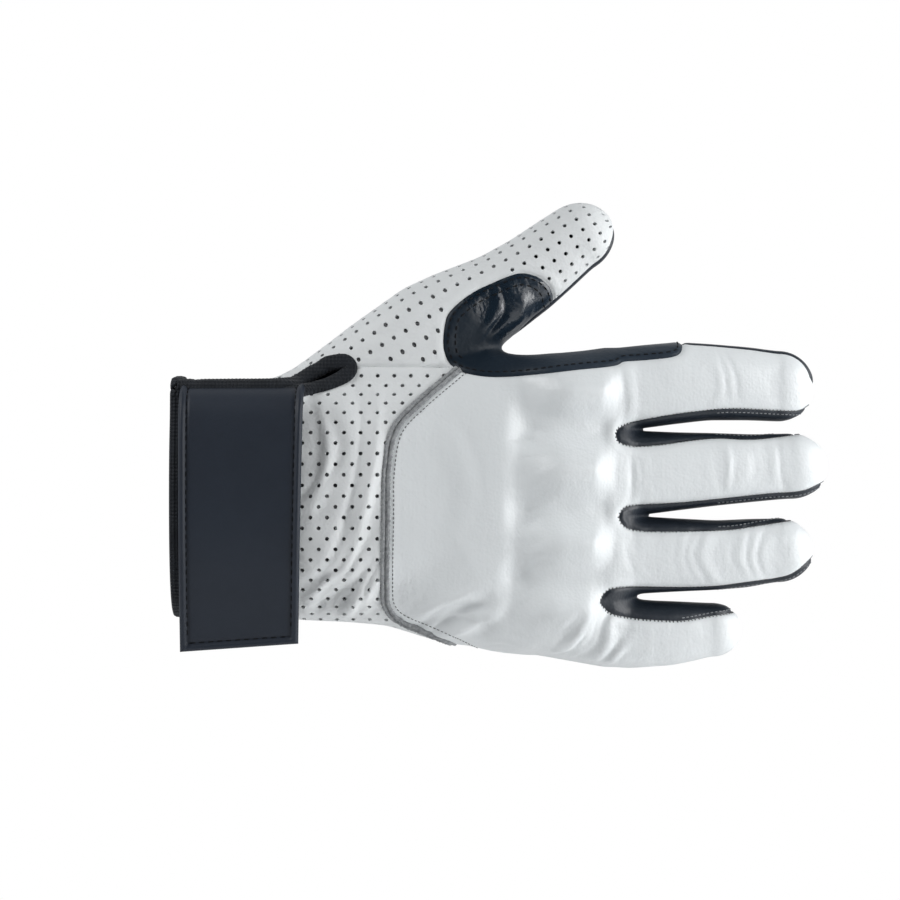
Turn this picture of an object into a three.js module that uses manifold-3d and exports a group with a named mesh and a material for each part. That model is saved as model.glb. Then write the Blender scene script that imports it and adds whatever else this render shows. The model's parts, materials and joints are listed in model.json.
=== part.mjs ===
// Leather motorcycle glove for the right hand, in millimetres, as it sits on a hand.
// The origin is the centre of the wrist opening. X runs along the hand to the fingertips,
// Z runs to the thumb side, and the back of the hand faces -Y.

import * as THREE from 'three';
import { mergeVertices } from 'three/addons/utils/BufferGeometryUtils.js';
import Module from 'manifold-3d';

const wasm = await Module();
wasm.setup();

// Leather, layers and clearances
const SEAM = 0.3;
const LEATHER = 1.4;
const LINING = 0.8;
const SHELL = 1.6;
const FOAM = 3;
const ELASTIC = 1;
const TAPE = 1;

// Cuff and palm
const CUFF_LENGTH = 73;
const CUFF_WIDTH = 80;
const CUFF_DEPTH = 50;
const WRIST_WIDTH = 88;
const WRIST_DEPTH = 45;
const PALM_LENGTH = 80;
const PALM_BULGE = 36;
const PALM_WIDTH = 101;
const PALM_DEPTH = 45;
const PALM_SHIFT = 2.5;
const KNUCKLE_SETBACK = 10;
const KNUCKLE_DEPTH = 42;
const KNUCKLE_SHIFT = 1.5;
const WEB_DEPTH = 31;
const WEB_ROUND = 4;
const BACK_SEAM = 11;

// Binding tape and the slit on the thumb side of the cuff
const BINDING = 3;
const SLIT_BEYOND = 18.2;
const SLIT_WIDTH = 5;
const SLIT_EDGE = 1;

// Strap and its touch fastener
const STRAP_WIDTH = 40.5;
const STRAP_CLEAR = 4.2;
const STRAP_FACE = 1.4;
const STRAP_BACKING = 0.8;
const STRAP_SINK = 1;
const STRAP_SETBACK = 0.9;
const STRAP_CLIMB = 32;
const STRAP_LEAVE = 118;
const STRAP_TAIL = 30;
const HOOK_TAPE = 1;
const HOOK_STEPS = 7;
const FASTENER_MARGIN = 4;

// Panels of the back: the seams below the thumb, the side strip and the gussets in the webs
const CROTCH = 40;
const THUMB_SEAM = 8.3;
const SIDE_STRIP = 7;
const SIDE_START = 12;
const SIDE_WIDEN = 3;
const GUSSET_POINT = 3;
const GUSSET_TAPER = 6;
const GUSSET_NIP = 1;
const PIPING = 3;
const PIPING_RISE = 0.8;

// Knuckle protector, and the pad on the heel of the palm
const PROTECTOR_LENGTH = 38;
const PROTECTOR_WIDTH = 80;
const PROTECTOR_CORNER = 14;
const PROTECTOR_SETBACK = 4;
const PAD_LENGTH = 28;
const PAD_WIDTH = 30;
const PAD_RISE = 2.2;
const PAD_CORNER = 9;
const PAD_SETBACK = 8;

// Fingers, from the index to the little finger. Reach runs from the webs to the root joint.
// Upper and lower are what shows of each side strip from the back, and gusset is how far the
// gusset below a finger reaches back from the webs.
const FINGER_TOP = 52.8;
const FINGER_GAP = 3.2;
const FINGER_Y = 4;
const FINGER_SEAM = 6;
const FINGERS = [
  {
    name: 'index', reach: 20, lengths: [23, 21.6], width: 27.4, tip: 23.2,
    depth: 26, tipDepth: 21, lean: -2, droop: 8, upper: 0, lower: 2.6, gusset: 2,
  },
  {
    name: 'middle', reach: 20, lengths: [23, 25.7], width: 26.4, tip: 22.6,
    depth: 26, tipDepth: 21, lean: 1.5, droop: 8, upper: 1.8, lower: 1.9, gusset: 2,
  },
  {
    name: 'ring', reach: 20, lengths: [23, 21.3], width: 25, tip: 21.8,
    depth: 25, tipDepth: 20, lean: 2.1, droop: 8, upper: 2.2, lower: 1.4, gusset: 6,
  },
  {
    name: 'little', reach: 10.5, lengths: [15, 14.6], width: 23, tip: 18,
    depth: 23, tipDepth: 18, lean: 1.4, droop: 6, upper: 3.6, lower: 0,
  },
];
const FINGER_STUB = 20;

// Thumb, whose axis climbs from the wrist at an angle. Its joint lies ahead of the wrist seam
// and out from the index side, and its base swells behind the flare.
const THUMB_ANGLE = 31;
const THUMB_AHEAD = 56.3;
const THUMB_OUT = 27.9;
const THUMB_Y = 10;
const THUMB = {
  name: 'thumb', lengths: [24], width: 25, tip: 22.4, depth: 23.5, tipDepth: 20, droop: 2,
  stub: 86, flare: 32, swell: 6.4, seam: 3, upper: 0, lower: 0,
};

// Outlines of the panels, as points along X and Z.
// The slit runs from its far end back to the hem, out from its own base.
const SLIT_CURVE = [
  [-19, 0], [-8, 1.2], [-2, 4.5], [0, 9], [-2.5, 12.5], [-7, 13.4], [-14, 13.8],
];
// The saddle and the palm edge of the thumb start at the crotch, level with the index side.
const SADDLE_CURVE = [
  [14, 12.7], [16, 16.7], [10, 22.7], [3, 23.7], [-12, 16.9], [-20, 5.7], [-18.5, -6.8], [-8, -11],
];
const THUMB_EDGE = [[-48, 0], [-30, -14.8], [-6, -15.8], [6, 0], [10, 9.2]];
// The piping starts at the wrist seam, in the middle of the cuff.
const PIPING_CURVE = [
  [35, 48], [11, 32], [1.5, 18], [-0.3, -8], [-0.3, -30], [5, -43], [30, -57], [55, -75],
];

// Joints: how far each bends, and where its axis lies between back (0) and palm (1)
const ROOT_BEND = 60;
const MIDDLE_BEND = 70;
const THUMB_BEND = 45;
const BEND_CLEARANCE = 2;
const HINGE_DEPTH = 0.6;

// Facets
const HAND_SIDES = 32;
const DIGIT_SIDES = 16;
const SQUARENESS = 2.35;
const END_ANGLES = [35, 62, 80];
const CORNER_STEP = 30;
const CURVE_STEPS = 20;

// Finishes
const WHITE_LEATHER = { color: 0xc9cecf, roughness: 0.55 };
const BLACK_LEATHER = { color: 0x23282e, roughness: 0.55 };
const SUEDE = { color: 0x8b9094, roughness: 0.9 };
const WEBBING = { color: 0x3c3f46, roughness: 0.9 };
const RUBBER = { color: 0x292e36, roughness: 0.8 };
const FASTENER = { color: 0x16181b, roughness: 0.95 };
const KNIT = { color: 0x8b9094, roughness: 0.95 };
const HARD_PLASTIC = { color: 0x23282e, roughness: 0.4 };

const FAR = 400;
const WEB_X = CUFF_LENGTH + PALM_LENGTH;
const CROTCH_X = CUFF_LENGTH + CROTCH;
const STRAP_START = BINDING + SEAM;
const STRAP_END = STRAP_START + STRAP_WIDTH;
const CUFF_STRAIGHT = STRAP_END + STRAP_CLEAR;
const SLIT_END = STRAP_END + SLIT_BEYOND;
const UNDER = LEATHER + SEAM;

const vec = (x, y, z) => new THREE.Vector3(x, y, z);
const radians = THREE.MathUtils.degToRad;

// A solid from a closed geometry
function solid(geometry) {
  const bare = geometry.clone();
  bare.deleteAttribute('normal');
  bare.deleteAttribute('uv');
  const merged = mergeVertices(bare, 1e-4);
  return new wasm.Manifold(new wasm.Mesh({
    numProp: 3,
    vertProperties: new Float32Array(merged.attributes.position.array),
    triVerts: new Uint32Array(merged.index.array),
  }));
}

// The largest separate body of a solid
function mainBody(shape) {
  const bodies = shape.decompose();
  return bodies.reduce((best, body) => (body.volume() > best.volume() ? body : best));
}

// A closed surface through rings of points, with a flat cap at each end
function loft(rings) {
  const sides = rings[0].length;
  const last = (rings.length - 1) * sides;
  const points = rings.flat();
  const index = [];
  for (let r = 0; r < rings.length - 1; r++) {
    for (let s = 0; s < sides; s++) {
      const a = r * sides + s;
      const b = r * sides + (s + 1) % sides;
      index.push(a, a + sides, b, b, a + sides, b + sides);
    }
  }
  for (let s = 1; s < sides - 1; s++) {
    index.push(0, s, s + 1, last, last + s + 1, last + s);
  }
  const geometry = new THREE.BufferGeometry().setFromPoints(points);
  geometry.setIndex(index);
  return geometry;
}

// A sine or cosine, squared up so that a section is fuller than an ellipse
const rounded = (value) => Math.sign(value) * Math.abs(value) ** (2 / SQUARENESS);

// A rounded section across X: half sizes towards the thumb side and towards the back
function section(x, y, z, halfWidth, halfDepth, sides) {
  const ring = [];
  for (let s = 0; s < sides; s++) {
    const turn = (s / sides) * 2 * Math.PI;
    ring.push(vec(
      x, y + halfDepth * rounded(Math.sin(turn)), z + halfWidth * rounded(Math.cos(turn)),
    ));
  }
  return ring;
}

// An outline in the X-Z plane, extruded between two depths
function prism(outline, low = -FAR, high = FAR) {
  const shape = new THREE.Shape(outline.map(([x, z]) => new THREE.Vector2(x, z)));
  const geometry = new THREE.ExtrudeGeometry(shape, { depth: high - low, bevelEnabled: false });
  geometry.rotateX(Math.PI / 2);
  geometry.translate(0, high, 0);
  return solid(geometry);
}

function box(low, high) {
  const size = high.clone().sub(low);
  const middle = high.clone().add(low).multiplyScalar(0.5);
  return solid(new THREE.BoxGeometry(size.x, size.y, size.z).translate(middle.x, middle.y, middle.z));
}

const between = (x0, x1) => box(vec(x0, -FAR, -FAR), vec(x1, FAR, FAR));
const behind = (y) => box(vec(-FAR, y, -FAR), vec(FAR, FAR, FAR));
const before = (y) => box(vec(-FAR, -FAR, -FAR), vec(FAR, y, FAR));

// The same polyline moved sideways, to the left of its direction
function sideways(points, distance) {
  return points.map((point, i) => {
    const [x0, z0] = points[Math.max(i - 1, 0)];
    const [x1, z1] = points[Math.min(i + 1, points.length - 1)];
    const length = Math.hypot(x1 - x0, z1 - z0);
    return [point[0] - (z1 - z0) / length * distance, point[1] + (x1 - x0) / length * distance];
  });
}

// A closed outline with every side moved out by a margin
function grow(outline, margin) {
  const area = THREE.ShapeUtils.area(outline.map(([x, z]) => new THREE.Vector2(x, z)));
  const out = Math.sign(area) * margin;
  const count = outline.length;
  const normal = ([x0, z0], [x1, z1]) => {
    const length = Math.hypot(x1 - x0, z1 - z0);
    return [(z1 - z0) / length, (x0 - x1) / length];
  };
  return outline.map((point, i) => {
    const [ax, az] = normal(outline[(i + count - 1) % count], point);
    const [bx, bz] = normal(point, outline[(i + 1) % count]);
    const mitre = out / (1 + ax * bx + az * bz);
    return [point[0] + (ax + bx) * mitre, point[1] + (az + bz) * mitre];
  });
}

// A closed band along a polyline
function ribbon(points, half) {
  return [...sideways(points, half), ...sideways(points, -half).reverse()];
}

function smooth(points) {
  const curve = new THREE.SplineCurve(points.map(([x, z]) => new THREE.Vector2(x, z)));
  return curve.getPoints(CURVE_STEPS).map((p) => [p.x, p.y]);
}

// A rectangle with round corners, grown by a margin
function roundedRectangle(x, z, length, width, corner, margin = 0) {
  const outline = [];
  const radius = corner + margin;
  const corners = [[1, 1, 0], [-1, 1, 90], [-1, -1, 180], [1, -1, 270]];
  for (const [sx, sz, start] of corners) {
    for (let turn = start; turn <= start + 90; turn += CORNER_STEP) {
      outline.push([
        x + sx * (length / 2 - corner) + radius * Math.cos(radians(turn)),
        z + sz * (width / 2 - corner) + radius * Math.sin(radians(turn)),
      ]);
    }
  }
  return outline;
}

// Finger places: each lies beside the last, with a gap between them
let edge = FINGER_TOP;
for (const finger of FINGERS) {
  finger.z = edge - finger.width / 2;
  edge -= finger.width + FINGER_GAP;
  finger.hinge = vec(WEB_X + finger.reach, FINGER_Y, finger.z);
  finger.direction = vec(finger.lengths[0] + finger.lengths[1], finger.droop, finger.lean);
  finger.stub = FINGER_STUB;
  finger.seam = FINGER_SEAM;
  finger.bends = [ROOT_BEND, MIDDLE_BEND];
}
const HAND_TOP = FINGER_TOP;
const HAND_BOTTOM = edge + FINGER_GAP;
const HAND_MIDDLE = (HAND_TOP + HAND_BOTTOM) / 2;

THUMB.hinge = vec(CUFF_LENGTH + THUMB_AHEAD, THUMB_Y, HAND_TOP + THUMB_OUT);
THUMB.direction = vec(
  THUMB.lengths[0] * Math.cos(radians(THUMB_ANGLE)),
  THUMB.droop,
  THUMB.lengths[0] * Math.sin(radians(THUMB_ANGLE)),
);
THUMB.bends = [THUMB_BEND];

// A digit's own frame: X along the digit, Z across it, the origin on its first joint
function digitMatrix(digit) {
  const along = digit.direction.clone().normalize();
  const across = vec(0, 0, 1).addScaledVector(along, -along.z).normalize();
  const depth = across.clone().cross(along);
  return new THREE.Matrix4().makeBasis(along, depth, across).setPosition(digit.hinge);
}

const digitLength = (digit) => digit.lengths.reduce((sum, length) => sum + length, 0);
const tipStart = (digit) => digitLength(digit) - digit.tip / 2;

// Half the width of a digit at a distance from its first joint
function halfWidthAt(digit, x) {
  return THREE.MathUtils.lerp(digit.width, digit.tip, x / tipStart(digit)) / 2;
}

// A digit's body in its own frame, grown by an offset, with both ends round
function digitBody(digit, offset) {
  const { stub, swell = 0, flare = 0 } = digit;
  const rings = [];
  const addRing = (x, width, depth, angle = 0) => {
    const scale = Math.cos(radians(angle));
    const forward = (width / 2 + offset) * Math.sin(radians(angle));
    const [halfWidth, halfDepth] = [width, depth].map((size) => (size / 2 + offset) * scale);
    rings.push(section(x + forward, 0, 0, halfWidth, halfDepth, DIGIT_SIDES));
  };
  const base = digit.width + swell;
  const baseDepth = digit.depth + swell;
  for (const angle of END_ANGLES.toReversed()) {
    addRing(-stub, base, baseDepth, -angle);
  }
  addRing(-stub, base, baseDepth);
  if (flare > 0) addRing(-flare, base, baseDepth);
  addRing(0, digit.width, digit.depth);
  addRing(tipStart(digit), digit.tip, digit.tipDepth);
  for (const angle of END_ANGLES) {
    addRing(tipStart(digit), digit.tip, digit.tipDepth, angle);
  }
  return solid(loft(rings));
}

const hingeY = (digit) => (HINGE_DEPTH - 0.5) * digit.depth;
const halfRoom = (digit) => (digit.width + FINGER_GAP) / 2;

// The room that a digit needs to bend at a joint: a thin cut behind its axis, a V before it
function bendCut(digit, x, bend) {
  const axis = hingeY(digit);
  const depth = FAR - axis;
  const half = SEAM / 2;
  const spread = half + depth * Math.tan(radians(bend / 2 + BEND_CLEARANCE));
  const shape = new THREE.Shape([
    new THREE.Vector2(x - half, -FAR),
    new THREE.Vector2(x + half, -FAR),
    new THREE.Vector2(x + half, axis),
    new THREE.Vector2(x + spread, FAR),
    new THREE.Vector2(x - spread, FAR),
    new THREE.Vector2(x - half, axis),
  ]);
  const room = halfRoom(digit);
  const geometry = new THREE.ExtrudeGeometry(shape, { depth: 2 * room, bevelEnabled: false });
  return solid(geometry.translate(0, 0, -room));
}

// The hand without its digits, grown by an offset
function handBody(offset) {
  const stations = [
    [0, 0, 0, CUFF_WIDTH, CUFF_DEPTH],
    [CUFF_STRAIGHT, 0, 0, CUFF_WIDTH, CUFF_DEPTH],
    [CUFF_LENGTH, PALM_SHIFT / 2, HAND_MIDDLE / 4, WRIST_WIDTH, WRIST_DEPTH],
    [CUFF_LENGTH + PALM_BULGE, PALM_SHIFT, HAND_MIDDLE / 2, PALM_WIDTH, PALM_DEPTH],
    [WEB_X - KNUCKLE_SETBACK, KNUCKLE_SHIFT, HAND_MIDDLE, HAND_TOP - HAND_BOTTOM, KNUCKLE_DEPTH],
    [WEB_X + WEB_ROUND, FINGER_Y, HAND_MIDDLE, HAND_TOP - HAND_BOTTOM, WEB_DEPTH],
  ];
  const rings = stations.map(([x, y, z, width, depth], i) => {
    const isOpenEnd = i === 0 && offset < 0;
    const isClosedEnd = i === stations.length - 1;
    const shift = (isOpenEnd ? -BINDING : 0) + (isClosedEnd ? offset : 0);
    return section(x + shift, y, z, width / 2 + offset, depth / 2 + offset, HAND_SIDES);
  });
  return solid(loft(rings));
}

const DIGITS = [...FINGERS, THUMB];
const place = (shape, digit) => shape.transform(digitMatrix(digit).elements);

// The hand with its digits up to their first joints
function wholeHand(offset) {
  let body = handBody(offset);
  for (const digit of DIGITS) {
    const stub = digitBody(digit, offset).intersect(between(-FAR, digit.lengths[0] / 2));
    body = body.add(place(stub, digit));
  }
  return body;
}

const outer = wholeHand(0);
const hollow = wholeHand(-LEATHER);
let skin = outer.subtract(hollow).subtract(between(-FAR, 0));
for (const digit of DIGITS) {
  const room = halfRoom(digit);
  const beyond = box(vec(0, -digit.depth, -room), vec(digitLength(digit), digit.depth, room));
  skin = skin.subtract(place(bendCut(digit, 0, digit.bends[0]).add(beyond), digit));
}

const glove = new THREE.Group();

// Adds a named piece to a parent
function addPiece(parent, name, shape, finish) {
  const mesh = mainBody(shape).getMesh();
  const geometry = new THREE.BufferGeometry();
  geometry.setAttribute('position', new THREE.BufferAttribute(mesh.vertProperties, 3));
  geometry.setIndex(new THREE.BufferAttribute(mesh.triVerts, 1));
  const material = new THREE.MeshStandardMaterial({ ...finish, metalness: 0 });
  const piece = new THREE.Mesh(geometry, material);
  piece.name = name;
  parent.add(piece);
}

// Slit on the thumb side: open from the hem to a round end, in front of the palm edge
const slitBase = CUFF_WIDTH / 2 - SLIT_WIDTH;
const slitOutline = [
  [-FAR, slitBase],
  ...SLIT_CURVE.map(([x, z]) => [SLIT_END + x, slitBase + z]),
  [-FAR, slitBase + SLIT_CURVE.at(-1)[1]],
];
const slit = (margin) => prism(grow(slitOutline, margin), -FAR, SLIT_EDGE + margin);

// Binding tape round the hem and the slit, on both faces of the leather
const taped = wholeHand(TAPE).subtract(wholeHand(-LEATHER - TAPE));
const hem = between(0, BINDING);
const slitTape = slit(BINDING).subtract(slit(0)).intersect(between(BINDING + SEAM, FAR));
addPiece(glove, 'cuff_binding', taped.intersect(hem).subtract(slit(0)), WEBBING);
addPiece(glove, 'slit_binding', taped.intersect(slitTape), WEBBING);
skin = skin.subtract(between(-FAR, BINDING + SEAM)).subtract(slit(BINDING + SEAM));

// Back and palm sides of the skin
let front = skin.intersect(before(BACK_SEAM - SEAM / 2));
let palmSide = skin.intersect(behind(BACK_SEAM + SEAM / 2));

// Cuts a piece from the front and leaves a seam round it
function cutFromFront(name, outline) {
  addPiece(glove, name, front.intersect(prism(outline)), BLACK_LEATHER);
  front = front.subtract(prism(grow(outline, SEAM)));
}

// Black leather between thumb and index finger, and along the index side
const fromCrotch = (points) => points.map(([x, z]) => [CROTCH_X + x, HAND_TOP + z]);
const sideStart = [CROTCH_X + SIDE_START, HAND_TOP - SIDE_STRIP - SIDE_WIDEN];
const sideEnd = [WEB_X + FINGERS[0].reach + LEATHER, HAND_TOP - SIDE_STRIP / 2];
const saddle = [...smooth(fromCrotch(SADDLE_CURVE)), sideStart, [sideStart[0], HAND_TOP]];
cutFromFront('thumb_saddle', saddle);
cutFromFront('index_side_panel', [
  sideStart, sideEnd, [sideEnd[0], HAND_TOP + SIDE_STRIP], [sideStart[0], HAND_TOP + SIDE_STRIP],
]);

// Gussets in the webs, in line with the side strips of the fingers on each side
for (let f = 0; f < FINGERS.length - 1; f++) {
  const above = FINGERS[f];
  const below = FINGERS[f + 1];
  const high = above.z - above.width / 2 + above.lower;
  const low = below.z + below.width / 2 - below.upper;
  const tip = WEB_X - above.gusset;
  const neck = tip + GUSSET_POINT;
  const side = neck + GUSSET_TAPER;
  const end = WEB_X + above.reach + LEATHER;
  cutFromFront(`fourchette_${above.name}_${below.name}`, [
    [tip, (high + low) / 2], [neck, low + GUSSET_NIP], [side, low], [end, low],
    [end, high], [side, high], [neck, high - GUSSET_NIP],
  ]);
}

// Piping along the wrist side of the back
const pipingLine = smooth(PIPING_CURVE.map(([x, z]) => [CUFF_LENGTH + x, z]));
const raised = wholeHand(PIPING_RISE).subtract(hollow);
const pipingBand = raised.intersect(before(BACK_SEAM - SEAM / 2))
  .intersect(prism(ribbon(pipingLine, PIPING / 2)))
  .subtract(prism(grow(saddle, SEAM)));
addPiece(glove, 'back_piping', pipingBand, SUEDE);
front = front.subtract(prism(ribbon(pipingLine, PIPING / 2 + SEAM)));

// The seam between the cuff and the thumb panel, then the white panels that are left
const seamZ = HAND_TOP - THUMB_SEAM;
front = front.subtract(prism(ribbon([[SLIT_END, seamZ], [CROTCH_X, seamZ]], SEAM / 2)));
function nearest(bodies, point) {
  const distance = (body) => {
    const { vertProperties } = body.getMesh();
    let least = Infinity;
    for (let v = 0; v < vertProperties.length; v += 3) {
      least = Math.min(least, point.distanceTo(vec(...vertProperties.slice(v, v + 3))));
    }
    return least;
  };
  return bodies.reduce((best, body) => (distance(body) < distance(best) ? body : best));
}
const panels = front.decompose();
const whitePanels = {
  cuff_back_panel: vec(CUFF_STRAIGHT, -CUFF_DEPTH / 2, 0),
  back_panel: vec(CUFF_LENGTH + PALM_BULGE, -PALM_DEPTH / 2, 0),
  thumb_panel: vec(CUFF_LENGTH, THUMB_Y, HAND_TOP + SIDE_STRIP),
};
for (const [name, point] of Object.entries(whitePanels)) {
  addPiece(glove, name, nearest(panels, point), WHITE_LEATHER);
}

// Palm side: wrist, palm and thumb
const thumbEdge = smooth(fromCrotch(THUMB_EDGE));
const [edgeStart, edgeEnd] = [thumbEdge[0], thumbEdge.at(-1)];
const thumbSide = [...thumbEdge, [FAR, edgeEnd[1]], [FAR, FAR], [edgeStart[0], FAR]];
addPiece(glove, 'thumb_palm', palmSide.intersect(prism(thumbSide)), BLACK_LEATHER);
palmSide = palmSide.subtract(prism(grow(thumbSide, SEAM)));
addPiece(glove, 'cuff_palm_panel', palmSide.intersect(between(0, CUFF_LENGTH)), BLACK_LEATHER);
addPiece(glove, 'palm_panel', palmSide.intersect(between(CUFF_LENGTH + SEAM, FAR)), BLACK_LEATHER);

// Padded heel of the palm, with a flat face that the glove can lie on
const padX = CUFF_LENGTH + PAD_SETBACK + PAD_LENGTH / 2;
const padOutline = roundedRectangle(padX, HAND_MIDDLE, PAD_LENGTH, PAD_WIDTH, PAD_CORNER);
const padFace = PALM_SHIFT + PALM_DEPTH / 2 + PAD_RISE;
const pad = prism(padOutline, 0, padFace).subtract(wholeHand(SEAM));
addPiece(glove, 'palm_heel_pad', pad, BLACK_LEATHER);

// Knuckle protector under the back leather, its foam, and the lining round them
const protectorX = WEB_X - PROTECTOR_SETBACK - PROTECTOR_LENGTH / 2;
const protector = (margin) => prism(roundedRectangle(
  protectorX, HAND_MIDDLE, PROTECTOR_LENGTH, PROTECTOR_WIDTH, PROTECTOR_CORNER, margin,
), -FAR, 0);
const layer = (depth, thickness) => handBody(-depth).subtract(handBody(-depth - thickness));
const foamDepth = UNDER + SHELL + SEAM;
addPiece(glove, 'knuckle_shell', layer(UNDER, SHELL).intersect(protector(0)), HARD_PLASTIC);
addPiece(glove, 'knuckle_pad', layer(foamDepth, FOAM).intersect(protector(0)), KNIT);
let lining = layer(UNDER, LINING).intersect(between(CUFF_LENGTH + SEAM, WEB_X - KNUCKLE_SETBACK));
lining = lining.subtract(protector(SEAM)).subtract(place(digitBody(THUMB, 0), THUMB));
addPiece(glove, 'hand_lining', lining, KNIT);
const elasticZone = between(CUFF_STRAIGHT + BINDING, CUFF_LENGTH - BINDING).intersect(behind(BACK_SEAM));
addPiece(glove, 'wrist_elastic', layer(UNDER, ELASTIC).intersect(elasticZone), WEBBING);

// Fingers and thumb tip: back, palm and side strips of each part
function addDigit(digit, partNames) {
  const group = new THREE.Group();
  group.position.copy(digit.hinge);
  group.quaternion.setFromRotationMatrix(digitMatrix(digit));
  glove.add(group);
  const shell = digitBody(digit, 0).subtract(digitBody(digit, -LEATHER));
  let start = 0;
  partNames.forEach((partName, i) => {
    const isLast = i === partNames.length - 1;
    const end = start + digit.lengths[i];
    let part = shell.intersect(between(start, isLast ? FAR : end));
    part = part.subtract(bendCut(digit, start, digit.bends[i]));
    if (!isLast) part = part.subtract(bendCut(digit, end, digit.bends[i + 1]));
    const label = (piece) => `${digit.name}_${partName}_${piece}`;
    let upperSide = part.intersect(before(digit.seam - SEAM / 2));
    const stripEnd = isLast ? tipStart(digit) : end;
    for (const [side, width] of [[1, digit.upper], [-1, digit.lower]]) {
      if (width > 0) {
        const line = [start, stripEnd].map((x) => [x, side * (halfWidthAt(digit, x) - width)]);
        const strip = (margin) => prism([
          [start - FAR, line[0][1] - side * margin], [stripEnd + margin, line[1][1] - side * margin],
          [stripEnd + margin, side * FAR], [start - FAR, side * FAR],
        ]);
        const piece = side > 0 ? 'fourchette_upper' : 'fourchette_lower';
        addPiece(group, label(piece), upperSide.intersect(strip(0)), BLACK_LEATHER);
        upperSide = upperSide.subtract(strip(SEAM));
      }
    }
    addPiece(group, label('back'), upperSide, WHITE_LEATHER);
    addPiece(group, label('palm'), part.intersect(behind(digit.seam + SEAM / 2)), BLACK_LEATHER);
    start = end;
  });
}
for (const finger of FINGERS) {
  addDigit(finger, ['proximal', 'distal']);
}
addDigit(THUMB, ['tip']);

// Strap: sewn to the palm edge of the slit, out over the back of the wrist, with a free tail.
// Its line lies in the Y-Z plane. It climbs out of the slit until it clears the fastener.
const strapThickness = STRAP_BACKING + SEAM + STRAP_FACE;
const strapLift = SEAM + TAPE + SEAM + HOOK_TAPE + SEAM;
const strapSunk = -STRAP_SINK - strapThickness;
function strapLine() {
  const line = [];
  for (let step = 0; step <= CURVE_STEPS; step++) {
    const turn = STRAP_LEAVE * step / CURVE_STEPS;
    const climb = THREE.MathUtils.smoothstep(turn, 0, STRAP_CLIMB);
    const lift = THREE.MathUtils.lerp(strapSunk, strapLift, climb);
    line.push([
      SLIT_EDGE - STRAP_SETBACK - (CUFF_DEPTH / 2 + lift) * rounded(Math.sin(radians(turn))),
      (CUFF_WIDTH / 2 + lift) * rounded(Math.cos(radians(turn))),
    ]);
  }
  return line;
}
const strapOver = strapLine();
const [beforeLast, last] = strapOver.slice(-2);
const lastStep = Math.hypot(last[0] - beforeLast[0], last[1] - beforeLast[1]);
const tailEnd = last.map((value, i) => value + (value - beforeLast[i]) / lastStep * STRAP_TAIL);
const strapWhole = [...strapOver, tailEnd];

// A band beside the strap's line, from an inner to an outer distance, across the strap's width
function strapLayer(line, inner, outer, margin = 0) {
  const outline = [...sideways(line, -inner), ...sideways(line, -outer).reverse()];
  const shape = new THREE.Shape(outline.map(([y, z]) => new THREE.Vector2(y, z)));
  const depth = STRAP_WIDTH - 2 * margin;
  const geometry = new THREE.ExtrudeGeometry(shape, { depth, bevelEnabled: false });
  geometry.applyMatrix4(new THREE.Matrix4().makeBasis(vec(0, 1, 0), vec(0, 0, 1), vec(1, 0, 0)));
  return solid(geometry.translate(STRAP_START + margin, 0, 0));
}
addPiece(glove, 'strap_backing', strapLayer(strapWhole, 0, STRAP_BACKING), KNIT);
addPiece(glove, 'strap_face', strapLayer(strapWhole, STRAP_BACKING + SEAM, strapThickness), RUBBER);
const hookLine = strapOver.slice(-HOOK_STEPS);
const hooks = strapLayer(hookLine, -SEAM - HOOK_TAPE, -SEAM, FASTENER_MARGIN);
addPiece(glove, 'strap_hook_tape', hooks, FASTENER);
const patchZone = box(
  vec(STRAP_START + FASTENER_MARGIN, -FAR, last[1]),
  vec(STRAP_END - FASTENER_MARGIN, 0, hookLine[0][1]),
);
const patch = handBody(SEAM + TAPE).subtract(handBody(SEAM)).intersect(patchZone);
addPiece(glove, 'loop_patch', patch, FASTENER);

export default glove;
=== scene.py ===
"""Looks of a leather motorcycle glove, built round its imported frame.

The outer surface is one body: tubes for the hand, fingers and thumb that run into each other, shaped by
the knuckle protector and by the folds of the leather. It is meshed once, cut along the seams into panels,
and each panel gets its thickness. Shapes are worked out in millimetres, in the frame's own axes: X to the
fingertips, Z to the thumb side, and the back of the hand towards -Y.
"""
import json
import math

import bpy
import numpy as np
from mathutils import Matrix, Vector, kdtree


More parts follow.
